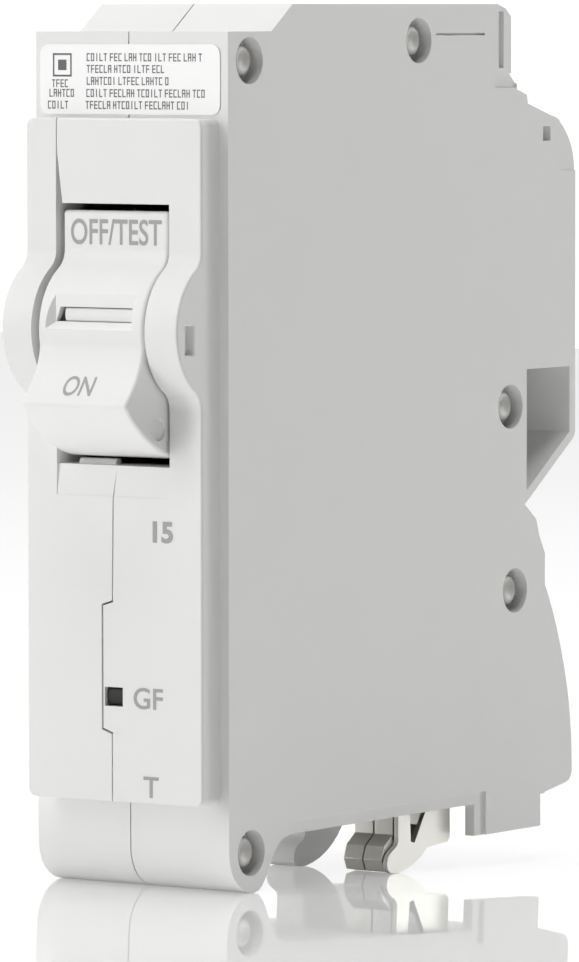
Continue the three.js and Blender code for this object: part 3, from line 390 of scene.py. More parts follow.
class Stuff(Enum):
    """Every finish of the breaker."""

    HOUSING = MouldedPlastic("housing_white", (0.80, 0.799, 0.788), 0.46, 0.005)
    ROCKER = MouldedPlastic("rocker_white", (0.82, 0.818, 0.806), 0.40, 0.003, mottle=0.01)
    BAR = MouldedPlastic("status_bar_white", (0.80, 0.81, 0.80), 0.25, 0.002, mottle=0.01)
    BLACK = MouldedPlastic("black_moulding", (0.012, 0.012, 0.012), 0.5, 0.006)
    BLUE = MouldedPlastic("blue_epoxy", (0.05, 0.16, 0.42), 0.25, 0.002)
    RIVET = PlatedMetal("rivet_zinc", (0.33, 0.33, 0.325), 0.5, 0, stain_share=0.5)
    STEEL = PlatedMetal("zinc_steel", (0.52, 0.52, 0.53), 0.32)
    TIN = PlatedMetal("tin_plate", (0.50, 0.49, 0.46), 0.40, 2, (0.42, 0.40, 0.33), 0.45)
    COPPER = PlatedMetal("bare_copper", (0.72, 0.38, 0.24), 0.3, 1, (0.4, 0.2, 0.12), 0.35)
    SILVER = PlatedMetal("contact_silver", (0.80, 0.80, 0.78), 0.28, 0)
    BIMETAL = PlatedMetal("bimetal_strip", (0.50, 0.48, 0.44), 0.3, 2)
    LABEL = CoatedPaper("label_stock", (0.88, 0.88, 0.875))
    GREY_INK = PrintedInk("grey_ink", (0.30, 0.30, 0.30))
    DARK_INK = PrintedInk("dark_ink", (0.05, 0.05, 0.05), 0.1)
    WINDING = WoundWire("red_winding", (0.42, 0.10, 0.05), (0.10, 0.02, 0.01))
    TAPE = WoundWire("ring_winding", (0.34, 0.17, 0.06), (0.05, 0.02, 0.01), 0.5, "X")
    FIBRE = PressedFibre("fibre_board", (0.45, 0.36, 0.25), (0.30, 0.22, 0.14))
    BOARD = PressedFibre("board_green", (0.04, 0.22, 0.11), (0.02, 0.14, 0.07))
    TABLE = StudioSurface()

    def material(self) -> bpy.types.Material:
        """Gives the finish's material, made once."""
        found = bpy.data.materials.get(self.value.name)
        return found or self.value.build()


# ---- mesh helpers --------------------------------------------------------------------


def new_object(name: str, bm: bmesh.types.BMesh, stuff: Stuff,
               weighted: bool = True) -> bpy.types.Object:
    """Turns a bmesh into a finished object.

    Args:
        name: The piece's name.
        bm: The geometry, in metres. It is freed.
        stuff: The finish.
        weighted: Whether flat faces keep their own normals beside rounded edges.

    Returns:
        The object, linked to the scene.
    """
    mesh = bpy.data.meshes.new(name)
    bm.normal_update()
    for face in bm.faces:
        face.smooth = True
    for edge in bm.edges:
        edge.smooth = edge.calc_face_angle(math.pi) < SHARP
    bm.to_mesh(mesh)
    bm.free()
    made = bpy.data.objects.new(name, mesh)
    bpy.context.scene.collection.objects.link(made)
    mesh.materials.append(stuff.material())
    if weighted:
        modifier = made.modifiers.new("flat_faces", "WEIGHTED_NORMAL")
        modifier.keep_sharp = True
        modifier.weight = 100
    return made


def arc(centre: Point, radius: float, start: float, end: float, steps: int) -> list[Point]:
    """Gives points on a circle between two angles.

    Args:
        centre: The circle's centre.
        radius: The circle's radius.
        start: First angle, in degrees.
        end: Last angle, in degrees.
        steps: How many chords.

    Returns:
        steps + 1 points.
    """
    angles = [math.radians(start + (end - start) * i / steps) for i in range(steps + 1)]
    return [(centre[0] + radius * math.cos(a), centre[1] + radius * math.sin(a)) for a in angles]


def bezier(ends: tuple[Point, Point], pulls: tuple[Point, Point], steps: int) -> list[Point]:
    """Gives points along a cubic curve, ends included.

    Args:
        ends: The first and last points.
        pulls: The two control points between them.
        steps: How many chords.

    Returns:
        steps + 1 points.
    """
    points = []
    for i in range(steps + 1):
        t = i / steps
        share = ((1 - t) ** 3, 3 * t * (1 - t) ** 2, 3 * t * t * (1 - t), t**3)
        knots = (ends[0], pulls[0], pulls[1], ends[1])
        points.append(tuple(sum(w * k[axis] for w, k in zip(share, knots, strict=True))
                            for axis in (0, 1)))
    return points


def prism(datum: Datum, outline: Sequence[Point], x0: float, x1: float) -> bmesh.types.BMesh:
    """Makes a prism along X from a (y, z) outline in millimetres.

    Args:
        datum: The case's datum.
        outline: The side outline, anticlockwise seen from +X.
        x0: The left end.
        x1: The right end.

    Returns:
        The prism, in metres.
    """
    bm = bmesh.new()
    rings = [[bm.verts.new(datum.at(x, y, z)) for y, z in outline] for x in (x0, x1)]
    bm.faces.new(list(reversed(rings[0])))
    bm.faces.new(rings[1])
    count = len(outline)
    for i in range(count):
        j = (i + 1) % count
        bm.faces.new([rings[0][i], rings[0][j], rings[1][j], rings[1][i]])
    bmesh.ops.recalc_face_normals(bm, faces=bm.faces)
    return bm


def boolean(whole: bmesh.types.BMesh, tool: bmesh.types.BMesh, how: str) -> bmesh.types.BMesh:
    """Joins or cuts two closed meshes with the exact solver.

    Args:
        whole: The mesh that is changed.
        tool: The mesh that is added or taken away. Both are freed.
        how: UNION or DIFFERENCE.

    Returns:
        The result.
    """
    objects = []
    for bm in (whole, tool):
        mesh = bpy.data.meshes.new("work")
        bm.to_mesh(mesh)
        bm.free()
        made = bpy.data.objects.new("work", mesh)
        bpy.context.scene.collection.objects.link(made)
        objects.append(made)
    base, cutter = objects
    modifier = base.modifiers.new("cut", "BOOLEAN")
    modifier.operation = how
    modifier.solver = "EXACT"
    modifier.object = cutter
    graph = bpy.context.evaluated_depsgraph_get()
    result = bmesh.new()
    result.from_mesh(base.evaluated_get(graph).to_mesh())
    for made in objects:
        mesh = made.data
        bpy.data.objects.remove(made)
        bpy.data.meshes.remove(mesh)
    bmesh.ops.remove_doubles(result, verts=result.verts, dist=1e-7)
    return result


def tidy(bm: bmesh.types.BMesh, degrees: float = 0.4) -> None:
    """Merges split vertices and joins coplanar triangles into whole faces."""
    bmesh.ops.remove_doubles(bm, verts=bm.verts, dist=2e-7)
    bmesh.ops.dissolve_limit(bm, angle_limit=math.radians(degrees), verts=bm.verts[:],
                             edges=bm.edges[:], use_dissolve_boundaries=False)
    bmesh.ops.recalc_face_normals(bm, faces=bm.faces)


def round_edges(bm: bmesh.types.BMesh, wanted: Callable[[bmesh.types.BMEdge], bool],
                width: float, steps: int = 3, clamp: bool = True) -> int:
    """Rounds the edges that a rule picks.

    Args:
        bm: The mesh, in metres.
        wanted: The rule. It is asked only about sharp edges between two faces.
        width: The rounding's size in millimetres.
        steps: How many facets.
        clamp: Whether the size shrinks where edges are close together.

    Returns:
        How many edges were rounded.
    """
    picked = [e for e in bm.edges if len(e.link_faces) == 2
              and e.calc_face_angle(0.0) > SHARP and wanted(e)]
    if picked:
        bmesh.ops.bevel(bm, geom=picked, offset=width * MM, segments=steps, profile=0.5,
                        affect="EDGES", clamp_overlap=clamp, miter_outer="ARC")
    return len(picked)


def copy_of(frame: dict, node: str) -> bmesh.types.BMesh:
    """Gives a tidied working copy of a CAD node's mesh."""
    bm = bmesh.new()
    bm.from_mesh(frame["nodes"][node].data)
    tidy(bm)
    return bm


def fit(piece: bpy.types.Object, body: str, slot: str, *nodes: str) -> None:
    """Rides a piece on its body and hides the nodes that it stands for."""
    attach(piece, body)
    if nodes:
        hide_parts(*nodes)
    LOG.info("%s: %d faces", piece.name, len(piece.data.polygons))


# ---- housing -------------------------------------------------------------------------


@dataclass
class Housing:
    """The two halves of the moulded case."""

    datum: Datum
    frame: dict
    half_width: float = 12.6
    plate_half: float = 11.45
    plate_reach: float = 3.3
    plate_top: float = 82.5
    plate_bottom: float = 9.7
    plate_corner: float = 0.9
    plate_round: float = 0.6
    rim_margin: float = 0.05
    edge_round: float = 0.2
    slit_y: tuple[float, float] = (39.0, 50.0)
    slit_z: tuple[float, float] = (91.0, 91.6)

    def build(self) -> None:
        """Makes both halves with rounded edges."""
        for node in ("right_housing", "left_housing"):
            bm = copy_of(self.frame, node)
            counts = [
                round_edges(bm, self.is_plate_edge, self.plate_round, 4),
                round_edges(bm, self.is_body_outline, self.edge_round, 3),
            ]
            LOG.info("%s: rounded %s", node, counts)
            fit(new_object(f"{node}_shell", bm, Stuff.HOUSING), "root", "housing_plastic", node)

    def ends(self, edge: bmesh.types.BMEdge) -> list[Vector]:
        """Gives the edge's ends in millimetres from the datum."""
        return [self.datum.local(v.co) for v in edge.verts]

    def is_plate_edge(self, edge: bmesh.types.BMEdge) -> bool:
        """Tells whether an edge is on the faceplate's or the cheeks' outer rim."""
        ends = self.ends(edge)
        rim = all(abs(abs(p.x) - self.plate_half) < NEAR
                  and p.y < -self.plate_reach + self.rim_margin for p in ends)
        reach = self.plate_corner + NEAR
        cap = all(abs(p.y + self.plate_reach) < NEAR and (
            p.z > self.plate_top - reach or p.z < self.plate_bottom + reach) for p in ends)
        return edge.is_convex and (rim or cap)

    def is_body_outline(self, edge: bmesh.types.BMEdge) -> bool:
        """Tells whether an edge is on the outline of an outer side, the top slit left out."""
        ends = self.ends(edge)
        slit = all(self.slit_y[0] < p.y < self.slit_y[1]
                   and self.slit_z[0] < p.z < self.slit_z[1] for p in ends)
        return edge.is_convex and not slit and all(
            abs(abs(p.x) - self.half_width) < NEAR for p in ends)


# ---- handle --------------------------------------------------------------------------


@dataclass
class Rocker:
    """The handle: paddle, drum, lip and skirt, with its slot and pale bar."""

    datum: Datum
    left: float = -6.75
    right: float = 7.0
    pivot_z: float = 60.1
    face: float = 3.1
    paddle_top: float = 72.7
    drum: float = 7.75
    fillet: float = 2.4
    skirt: float = 13.35
    skirt_growth: float = 0.35
    lip_angle: float = 215.3
    skirt_end: float = 293.0
    wall: float = 1.5
    soft: float = 0.42
    hub: float = 3.4
    cross_bar: float = 2.6
    trunnion: float = 1.6
    trunnion_reach: float = 2.4
    dimple: Point = (-4.85, -10.4)
    dimple_radius: float = 1.2
    dimple_depth: float = 0.28
    slit: Point = (-5.93, -10.04)
    slit_half: Point = (0.15, 0.72)
    slit_lean: float = 0.34
    slit_depth: float = 0.9

    def polar(self, radius: float, degrees: float) -> Point:
        """Gives a point by radius and angle about the pivot."""
        a = math.radians(degrees)
        return radius * math.cos(a), self.pivot_z + radius * math.sin(a)

    def neck(self) -> list[Point]:
        """Gives the hollow curve from the drum out to the tip of the lip."""
        ends = (self.polar(self.drum, 192), self.polar(self.skirt, self.lip_angle))
        return bezier(ends, (self.polar(self.drum + 0.7, 204), self.polar(self.drum + 1.9, 210)),
                      16)

    def underside(self, steps: int = 30) -> list[Point]:
        """Gives the skirt under the lip, which swells a little towards the bottom."""
        points = []
        for i in range(1, steps + 1):
            angle = self.lip_angle + (self.skirt_end - self.lip_angle) * i / steps
            swell = min(1.0, max(0.0, (angle - 232) / 28))
            points.append(self.polar(self.skirt + self.skirt_growth * swell, angle))
        return points

    def face_at(self, z: float) -> float:
        """Gives how far forward the lip's upper face is at a height."""
        points = self.neck()
        for (y0, z0), (y1, z1) in zip(points, points[1:], strict=False):
            if z1 <= z <= z0:
                return y0 + (y1 - y0) * (z0 - z) / (z0 - z1)
        return points[-1][0]

    def outline(self) -> list[Point]:
        """Gives the side outline, anticlockwise from the top of the paddle."""
        reach = self.drum + self.fillet
        rise = math.sqrt(reach**2 - (self.face + self.fillet) ** 2)
        meet = math.degrees(math.atan2(rise, -self.face - self.fillet))
        centre = (0.0, self.pivot_z)
        return [
            (-self.face, self.paddle_top),
            *arc((-self.face - self.fillet, self.pivot_z + rise), self.fillet, 0, meet - 180, 10),
            *arc(centre, self.drum, meet + 2, 190, 24),
            *self.neck(),
            *self.underside(),
            self.polar(self.skirt - self.wall, self.skirt_end),
            self.polar(self.hub, 300),
            self.polar(self.hub, 360),
            self.polar(self.hub, 55),
            (-self.face + self.wall + 0.6, self.pivot_z + 8),
            (-self.face + self.wall, self.paddle_top),
        ]

    def core(self) -> list[Point]:
        """Gives the outline of the hollow behind the skin."""
        centre = (0.0, self.pivot_z)
        back = -self.face + self.wall
        return [
            (back, self.paddle_top - self.wall),
            (back, self.pivot_z + 9.4),
            *arc(centre, self.drum - self.wall, 130, 186, 10),
            *arc(centre, self.skirt - self.wall, 222, self.skirt_end + 8, 16),
            (12.0, self.pivot_z - 6),
            (12.0, self.paddle_top - self.wall),
        ]

    def loft(self, near: tuple[float, list[Point]],
             far: tuple[float, list[Point]]) -> bmesh.types.BMesh:
        """Makes a solid between two (x, z) outlines, each on its own plane across Y.

        Args:
            near: The front plane and its outline, with heights from the pivot.
            far: The back plane and its outline, with as many corners.

        Returns:
            The solid.
        """
        bm = bmesh.new()
        rings = [[bm.verts.new(self.datum.at(x, y, self.pivot_z + z)) for x, z in corners]
                 for y, corners in (near, far)]
        bm.faces.new(rings[0])
        bm.faces.new(list(reversed(rings[1])))
        count = len(rings[0])
        for i in range(count):
            j = (i + 1) % count
            bm.faces.new([rings[0][i], rings[1][i], rings[1][j], rings[0][j]])
        bmesh.ops.triangulate(bm, faces=bm.faces)
        bmesh.ops.recalc_face_normals(bm, faces=bm.faces)
        return bm

    def recess_cutter(self) -> bmesh.types.BMesh:
        """Makes the cutter for the flat-bottomed recess round the slot."""
        rim = [(-6.25, -0.45), (6.0, -0.45), (6.2, 4.6), (-6.3, 4.6)]
        floor = [(-5.0, 0.86), (5.0, 0.86), (5.4, 3.9), (-5.0, 3.9)]
        return self.loft((-self.drum - 0.75, rim), (-self.drum + 0.95, floor))

    def slot_cutter(self) -> bmesh.types.BMesh:
        """Makes the cutter for the slot in the recess's floor."""
        slot = [(-4.95, 0.9), (4.95, 0.9), (5.1, 2.46), (-4.4, 2.46)]
        return self.loft((-self.drum + 0.4, slot), (-4.8, slot))

    def dimple_cutter(self) -> bmesh.types.BMesh:
        """Makes the cutter for the shallow round dimple in the right side."""
        return self.rod(self.dimple_radius, self.right - self.dimple_depth, self.right + 1,
                        *self.dimple)

    def slit_cutter(self) -> bmesh.types.BMesh:
        """Makes the cutter for the thin leaf-shaped slit beside the side dimple."""
        leaf = []
        for i in range(16):
            a = 2 * math.pi * i / 16
            across, along = self.slit_half[0] * math.cos(a), self.slit_half[1] * math.sin(a)
            leaf.append((self.slit[0] + across + self.slit_lean * along,
                         self.pivot_z + self.slit[1] + along))
        return prism(self.datum, leaf, self.right - self.slit_depth, self.right + 1)

    def rod(self, radius: float, x0: float, x1: float, y: float = 0.0, z: float = 0.0,
            steps: int = 40) -> bmesh.types.BMesh:
        """Makes a round bar along X, placed from the pivot."""
        return prism(self.datum, arc((y, self.pivot_z + z), radius, 0, 360 - 360 / steps,
                                     steps - 1), x0, x1)

    def build(self) -> None:
        """Makes the handle and its bar."""
        body = prism(self.datum, self.outline(), self.left, self.right)
        hollow = prism(self.datum, self.core(), self.left + self.wall, self.right - self.wall)
        body = boolean(body, hollow, "DIFFERENCE")
        body = boolean(body, self.rod(self.cross_bar, self.left + 0.5, self.right - 0.5), "UNION")
        pins = self.rod(self.trunnion, self.left - self.trunnion_reach,
                        self.right + self.trunnion_reach)
        body = boolean(body, pins, "UNION")
        tidy(body, 0.2)
        round_edges(body, self.is_outer_edge, self.soft, 4, clamp=False)
        for cutter in (self.recess_cutter(), self.slot_cutter(), self.dimple_cutter(),
                       self.slit_cutter()):
            body = boolean(body, cutter, "DIFFERENCE")
        tidy(body, 0.2)
        handle = new_object("rocker_handle", body, Stuff.ROCKER)
        fit(handle, "rocker", "handle_plastic", "handle")
        self.build_bar()

    def is_outer_edge(self, edge: bmesh.types.BMEdge) -> bool:
        """Tells whether an edge is on the outside of the handle, where fingers go."""
        for vertex in edge.verts:
            p = self.datum.local(vertex.co)
            radius = math.hypot(p.y, p.z - self.pivot_z)
            if p.y > 1.5 or radius < self.drum - 0.3:
                return False
        return edge.is_convex

    def build_bar(self, ends: Point = (-3.95, 5.1), low: float = 0.95, high: float = 2.36,
                  set_in: float = 1.2, back: float = -5.3, crown: float = 0.10) -> None:
        """Makes the pale bar that shows in the slot, gently curved like the drum.

        Args:
            ends: Its left and right ends.
            low: Its underside, from the pivot.
            high: Its top, from the pivot.
            set_in: How far its front is behind the drum's.
            back: Its back plane.
            crown: How far its front swells.
        """
        z0, z1 = self.pivot_z + low, self.pivot_z + high
        front = -self.drum + set_in
        outline = [(back, z1), *[(front - crown * math.sin(math.pi * t / 8),
                                  z1 + (z0 - z1) * t / 8) for t in range(9)], (back, z0)]
        bm = prism(self.datum, outline, *ends)
        round_edges(bm, lambda e: e.is_convex, 0.16, 3)
        fit(new_object("status_bar_strip", bm, Stuff.BAR), "rocker", "pale_lens", "status_bar")


# ---- rivets --------------------------------------------------------------------------


@dataclass
class Rivet:
    """A through-rivet with rolled, lightly hammered heads."""

    datum: Datum
    node: str
    shaft: float = 1.3
    head: float = 1.75
    sides: int = 40

    def build(self) -> None:
        """Makes the rivet on its CAD node's axis."""
        low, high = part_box(self.node)
        middle = self.datum.local((low + high) / 2)
        end = (high.x - low.x) / 2 / MM
        profile = [
            (0.0, end - 0.28), (0.55, end - 0.24), (0.85, end - 0.06), (1.1, end),
            (1.4, end - 0.04), (1.62, end - 0.16), (self.head, end - 0.36),
            (self.head, end - 0.66), (self.shaft, end - 0.7),
        ]
        profile += [(r, -x) for r, x in reversed(profile)]
        bm = bmesh.new()
        rings: list[list[bmesh.types.BMVert]] = []
        for radius, x in profile:
            if radius == 0.0:
                rings.append([bm.verts.new(self.datum.at(x, middle.y, middle.z))])
                continue
            points = arc((middle.y, middle.z), radius, 0, 360 - 360 / self.sides, self.sides - 1)
            rings.append([bm.verts.new(self.datum.at(x, y, z)) for y, z in points])
        for near, far in zip(rings, rings[1:], strict=False):
            self.band(bm, near, far)
        bmesh.ops.recalc_face_normals(bm, faces=bm.faces)
        fit(new_object(f"{self.node}_turned", bm, Stuff.RIVET, weighted=False), "root",
            "rivet_steel", self.node)

    def band(self, bm: bmesh.types.BMesh, near: list, far: list) -> None:
        """Joins two rings, either of which may be a single point."""
        for i in range(self.sides):
            j = (i + 1) % self.sides
            corners = [near[i % len(near)], far[i % len(far)], far[j % len(far)],
                       near[j % len(near)]]
            unique = list(dict.fromkeys(corners))
            if len(unique) > 2:
                bm.faces.new(unique)


# ---- label and markings --------------------------------------------------------------


@dataclass
class Label:
    """The rating label, with a plain mark and rows of plain stroke figures as its print."""

    datum: Datum
    frame: dict
    lines: list[tuple[float, float, float]] = field(default_factory=lambda: [
        (88.95, -5.75, 9.6), (87.7, -5.75, 4.7), (86.42, -5.75, 5.2), (85.13, -5.8, 9.75),
        (83.86, -5.9, 7.8), (85.13, -10.7, -6.9), (83.86, -10.9, -8.1), (86.15, -10.35, -7.7),
    ])
    figures: tuple[str, ...] = ("ltb", "c", "lrtm", "ct", "ltmb", "lrtb", "lb", "lrm", "ltm")
    letter: float = 0.44
    height: float = 0.86
    stroke: float = 0.13
    lift: float = 0.006
    patch: tuple[float, float, float] = (-8.98, 88.12, 2.5)
    patch_line: float = 0.2
    patch_core: float = 0.45

    def build(self) -> None:
        """Makes the label sheet and its print."""
        bm = copy_of(self.frame, "rating_label")
        round_edges(bm, lambda e: abs(e.verts[0].co.y - e.verts[1].co.y) < 1e-6, 0.035, 2)
        fit(new_object("rating_label_sheet", bm, Stuff.LABEL), "root", "label_paper",
            "rating_label")
        front = self.datum.local(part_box("rating_label")[0]).y - self.lift
        bm = bmesh.new()
        for row, (z, x0, x1) in enumerate(self.lines):
            self.row(bm, row, z, x0, x1, front)
        self.mark(bm, front)
        fit(new_object("label_print", bm, Stuff.DARK_INK, weighted=False), "root", "label_paper")

    def bar(self, bm: bmesh.types.BMesh, x0: float, x1: float, z0: float, z1: float,
            y: float) -> None:
        """Adds one flat stroke of ink."""
        corners = [(x0, z0), (x1, z0), (x1, z1), (x0, z1)]
        bm.faces.new([bm.verts.new(self.datum.at(x, y, z)) for x, z in corners])

    def row(self, bm: bmesh.types.BMesh, row: int, z: float, x0: float, x1: float,
            y: float) -> None:
        """Adds a row of plain stroke figures in groups, as small print looks from afar.

        Args:
            bm: Where the strokes go.
            row: The row's number, which varies the groups.
            z: The row's middle.
            x0: Where it starts.
            x1: Where it ends.
            y: The plane of the ink.
        """
        x, index, left = x0, 0, 5 + row % 3
        while x + self.letter < x1:
            if left == 0:
                left = 3 + (index * 5 + row) % 5
                x += self.letter * 0.55
                continue
            figure = self.figures[(index * 5 + row * 3 + index // 4) % len(self.figures)]
            for stroke in figure:
                self.stroke_of(bm, stroke, x, z, y)
            x += self.letter * 1.28
            index += 1
            left -= 1

    def stroke_of(self, bm: bmesh.types.BMesh, stroke: str, x: float, z: float,
                  y: float) -> None:
        """Adds one stroke of a figure: l, r and c stand up; t, m and b lie flat."""
        half, t, wide = self.height / 2, self.stroke, self.letter
        if stroke in "lrc":
            start = x + {"l": 0.0, "r": wide - t, "c": (wide - t) / 2}[stroke]
            self.bar(bm, start, start + t, z - half, z + half, y)
            return
        low = z + {"t": half - t, "m": -t / 2, "b": -half}[stroke]
        self.bar(bm, x, x + wide, low, low + t, y - 0.001)

    def mark(self, bm: bmesh.types.BMesh, y: float) -> None:
        """Adds a plain square frame with a solid middle."""
        x, z, size = self.patch
        half, t, core = size / 2, self.patch_line, size / 2 * self.patch_core
        self.bar(bm, x - half, x + half, z + half - t, z + half, y)
        self.bar(bm, x - half, x + half, z - half, z - half + t, y)
        self.bar(bm, x - half, x - half + t, z - half + t, z + half - t, y)
        self.bar(bm, x + half - t, x + half, z - half + t, z + half - t, y)
        self.bar(bm, x - core, x + core, z - core, z + core, y)


@dataclass(frozen=True)
class Marking:
    """A few plain characters printed on a face."""

    name: str
    words: str
    body: str
    width: float
    height: float
    centre: tuple[float, float, float]
    bold: float = 0.012
    slot: str = "housing_plastic"
    surface: Callable[[float], float] | None = None

    def build(self, datum: Datum) -> None:
        """Makes the characters as a thin mesh, flat or laid on a curved face.

        Args:
            datum: The case's datum.
        """
        curve = bpy.data.curves.new(self.name, "FONT")
        curve.body = self.words
        curve.resolution_u = 6
        curve.offset = self.bold
        source = bpy.data.objects.new(self.name, curve)
        bpy.context.scene.collection.objects.link(source)
        bpy.context.view_layer.update()
        graph = bpy.context.evaluated_depsgraph_get()
        bm = bmesh.new()
        bm.from_mesh(source.evaluated_get(graph).to_mesh())
        bpy.data.objects.remove(source)
        xs = [v.co.x for v in bm.verts]
        ys = [v.co.y for v in bm.verts]
        size = Vector((max(xs) - min(xs), max(ys) - min(ys), 1))
        middle = Vector(((max(xs) + min(xs)) / 2, (max(ys) + min(ys)) / 2, 0))
        scale = Matrix.Diagonal((self.width / size.x * MM, self.height / size.y * MM, 1, 1))
        upright = Matrix.Rotation(math.radians(90), 4, "X")
        place = Matrix.Translation(datum.at(*self.centre))
        bmesh.ops.transform(bm, matrix=place @ upright @ scale @ Matrix.Translation(-middle),
                            verts=bm.verts)
        bmesh.ops.remove_doubles(bm, verts=bm.verts, dist=1e-8)
        if self.surface is not None:
            self.lay(bm, datum, self.surface)
        fit(new_object(self.name, bm, Stuff.GREY_INK, weighted=False), self.body, self.slot)

    def lay(self, bm: bmesh.types.BMesh, datum: Datum, surface: Callable[[float], float],
            bands: int = 14, lift: float = 0.02) -> None:
        """Cuts the characters into level bands and lays each on the curved face.

        Args:
            bm: The flat characters.
            datum: The case's datum.
            surface: Gives the face's place along Y at a height.
            bands: How many bands.
            lift: Height of the ink over the face.
        """
        middle = self.centre[2]
        for i in range(1, bands):
            cut_at = datum.at(0, 0, middle + self.height * (i / bands - 0.5))
            bmesh.ops.bisect_plane(bm, geom=bm.verts[:] + bm.edges[:] + bm.faces[:],
                                   plane_co=cut_at, plane_no=(0, 0, 1))
        for vertex in bm.verts:
            z = datum.local(vertex.co).z
            vertex.co.y = datum.at(0, surface(z) - lift, 0).y


def markings(rocker: Rocker) -> Iterable[Marking]:
    """Gives every printed mark: the two handle positions, the rating and two window marks."""
    yield Marking("mark_off", "OFF/TEST", "rocker", 11.9, 2.75, (0.25, -3.13, 70.44),
                  slot="handle_plastic")
    yield Marking("mark_on", "ON", "rocker", 3.9, 2.03, (-0.15, -9.0, 54.33),
                  slot="handle_plastic", surface=rocker.face_at)
    yield Marking("mark_rating", "15", "root", 2.65, 2.3, (6.4, -3.33, 38.72), bold=0.035)
    yield Marking("mark_fault", "GF", "root", 3.85, 2.3, (4.45, -3.33, 20.93))
    yield Marking("mark_type", "T", "root", 2.0, 2.25, (4.8, -3.33, 11.5))


@dataclass
class FaultWindow:
    """The dark lens that fills the fault window."""

    datum: Datum
    left: float = -1.3
    right: float = 1.05
    low: float = 19.95
    high: float = 21.9
    front: float = -2.75
    back: float = -1.9

    def build(self) -> None:
        """Makes the lens with rounded edges and a slightly domed front."""
        outline = [(self.back, self.high), (self.front, self.high - 0.12)]
        outline += [(self.front - 0.1 * math.sin(math.pi * i / 6),
                     self.high - 0.12 - (self.high - self.low - 0.24) * i / 6)
                    for i in range(1, 6)]
        outline += [(self.front, self.low + 0.12), (self.back, self.low)]
        bm = prism(self.datum, outline, self.left, self.right)
        round_edges(bm, lambda e: e.is_convex, 0.15, 3)
        fit(new_object("fault_window_lens", bm, Stuff.BLACK), "root", "black_plastic")


@dataclass
class WindowRib:
    """The low rib under the handle, behind the left half of the opening's sill."""

    datum: Datum
    left: float = -5.9
    right: float = -1.0
    front: float = -1.5
    back: float = -0.5
    low: float = 45.0
    top: float = 46.2

    def build(self) -> None:
        """Makes the rib with a bevelled front corner and rounded edges."""
        outline = [(self.back, self.low), (self.back, self.top), (self.front + 0.2, self.top),
                   (self.front, self.top - 0.35), (self.front, self.low)]
        bm = prism(self.datum, outline, self.left, self.right)
        round_edges(bm, lambda e: e.is_convex, 0.12, 2)
        fit(new_object("window_rib", bm, Stuff.HOUSING), "root", "housing_plastic")


# ---- clip, mechanism and electronics -------------------------------------------------


@dataclass
class PlugClip:
    """The plug-on clip: two spring fingers and a side plate."""

    frame: dict
    nodes: tuple[str, ...] = ("clip_side_plate", "clip_near_finger", "clip_far_finger")

    def build(self) -> None:
        """Makes each stamping with its rounded edges."""
        for node in self.nodes:
            bm = copy_of(self.frame, node)
            round_edges(bm, lambda e: e.is_convex, 0.1, 2)
            fit(new_object(f"{node}_stamping", bm, Stuff.TIN), "root", "tin_plate", node)


@dataclass
class Inside:
    """Everything inside the case, in its real finish."""

    frame: dict
    dress: dict[Stuff, tuple[str, ...]] = field(default_factory=lambda: {
        Stuff.COPPER: ("line_jaw", "line_strap", "contact_arm", "braid", "load_strap",
                       "clip_bridge"),
        Stuff.SILVER: ("fixed_contact", "moving_contact"),
        Stuff.BIMETAL: ("bimetal",),
        Stuff.FIBRE: ("arc_chute_left_board", "arc_chute_right_board", "barrier", "resistor"),
        Stuff.BLACK: ("sensing_chip", "capacitor", "thyristor", "diode", "trip_lever",
                      "fault_flag"),
        Stuff.BOARD: ("circuit_board",),
        Stuff.BLUE: ("varistor",),
        Stuff.WINDING: ("solenoid_coil",),
        Stuff.TAPE: ("sensing_ring", "grounded_neutral_ring"),
    })

    def build(self) -> None:
        """Gives every carried-over node its material."""
        finish_of = {node: stuff for stuff, nodes in self.dress.items() for node in nodes}
        for node, made in self.frame["nodes"].items():
            stuff = finish_of.get(node, Stuff.STEEL)
            made.data.materials.clear()
            made.data.materials.append(stuff.material())
        LOG.info("inside: %d nodes dressed", len(self.frame["nodes"]))


# ---- studio --------------------------------------------------------------------------


@dataclass(frozen=True)
class Panel:
    """A soft light: angles in degrees from the front and the floor, the rest in metres."""

    name: str
    azimuth: float
    elevation: float
    distance: float
    width: float
    height: float
    strength: float


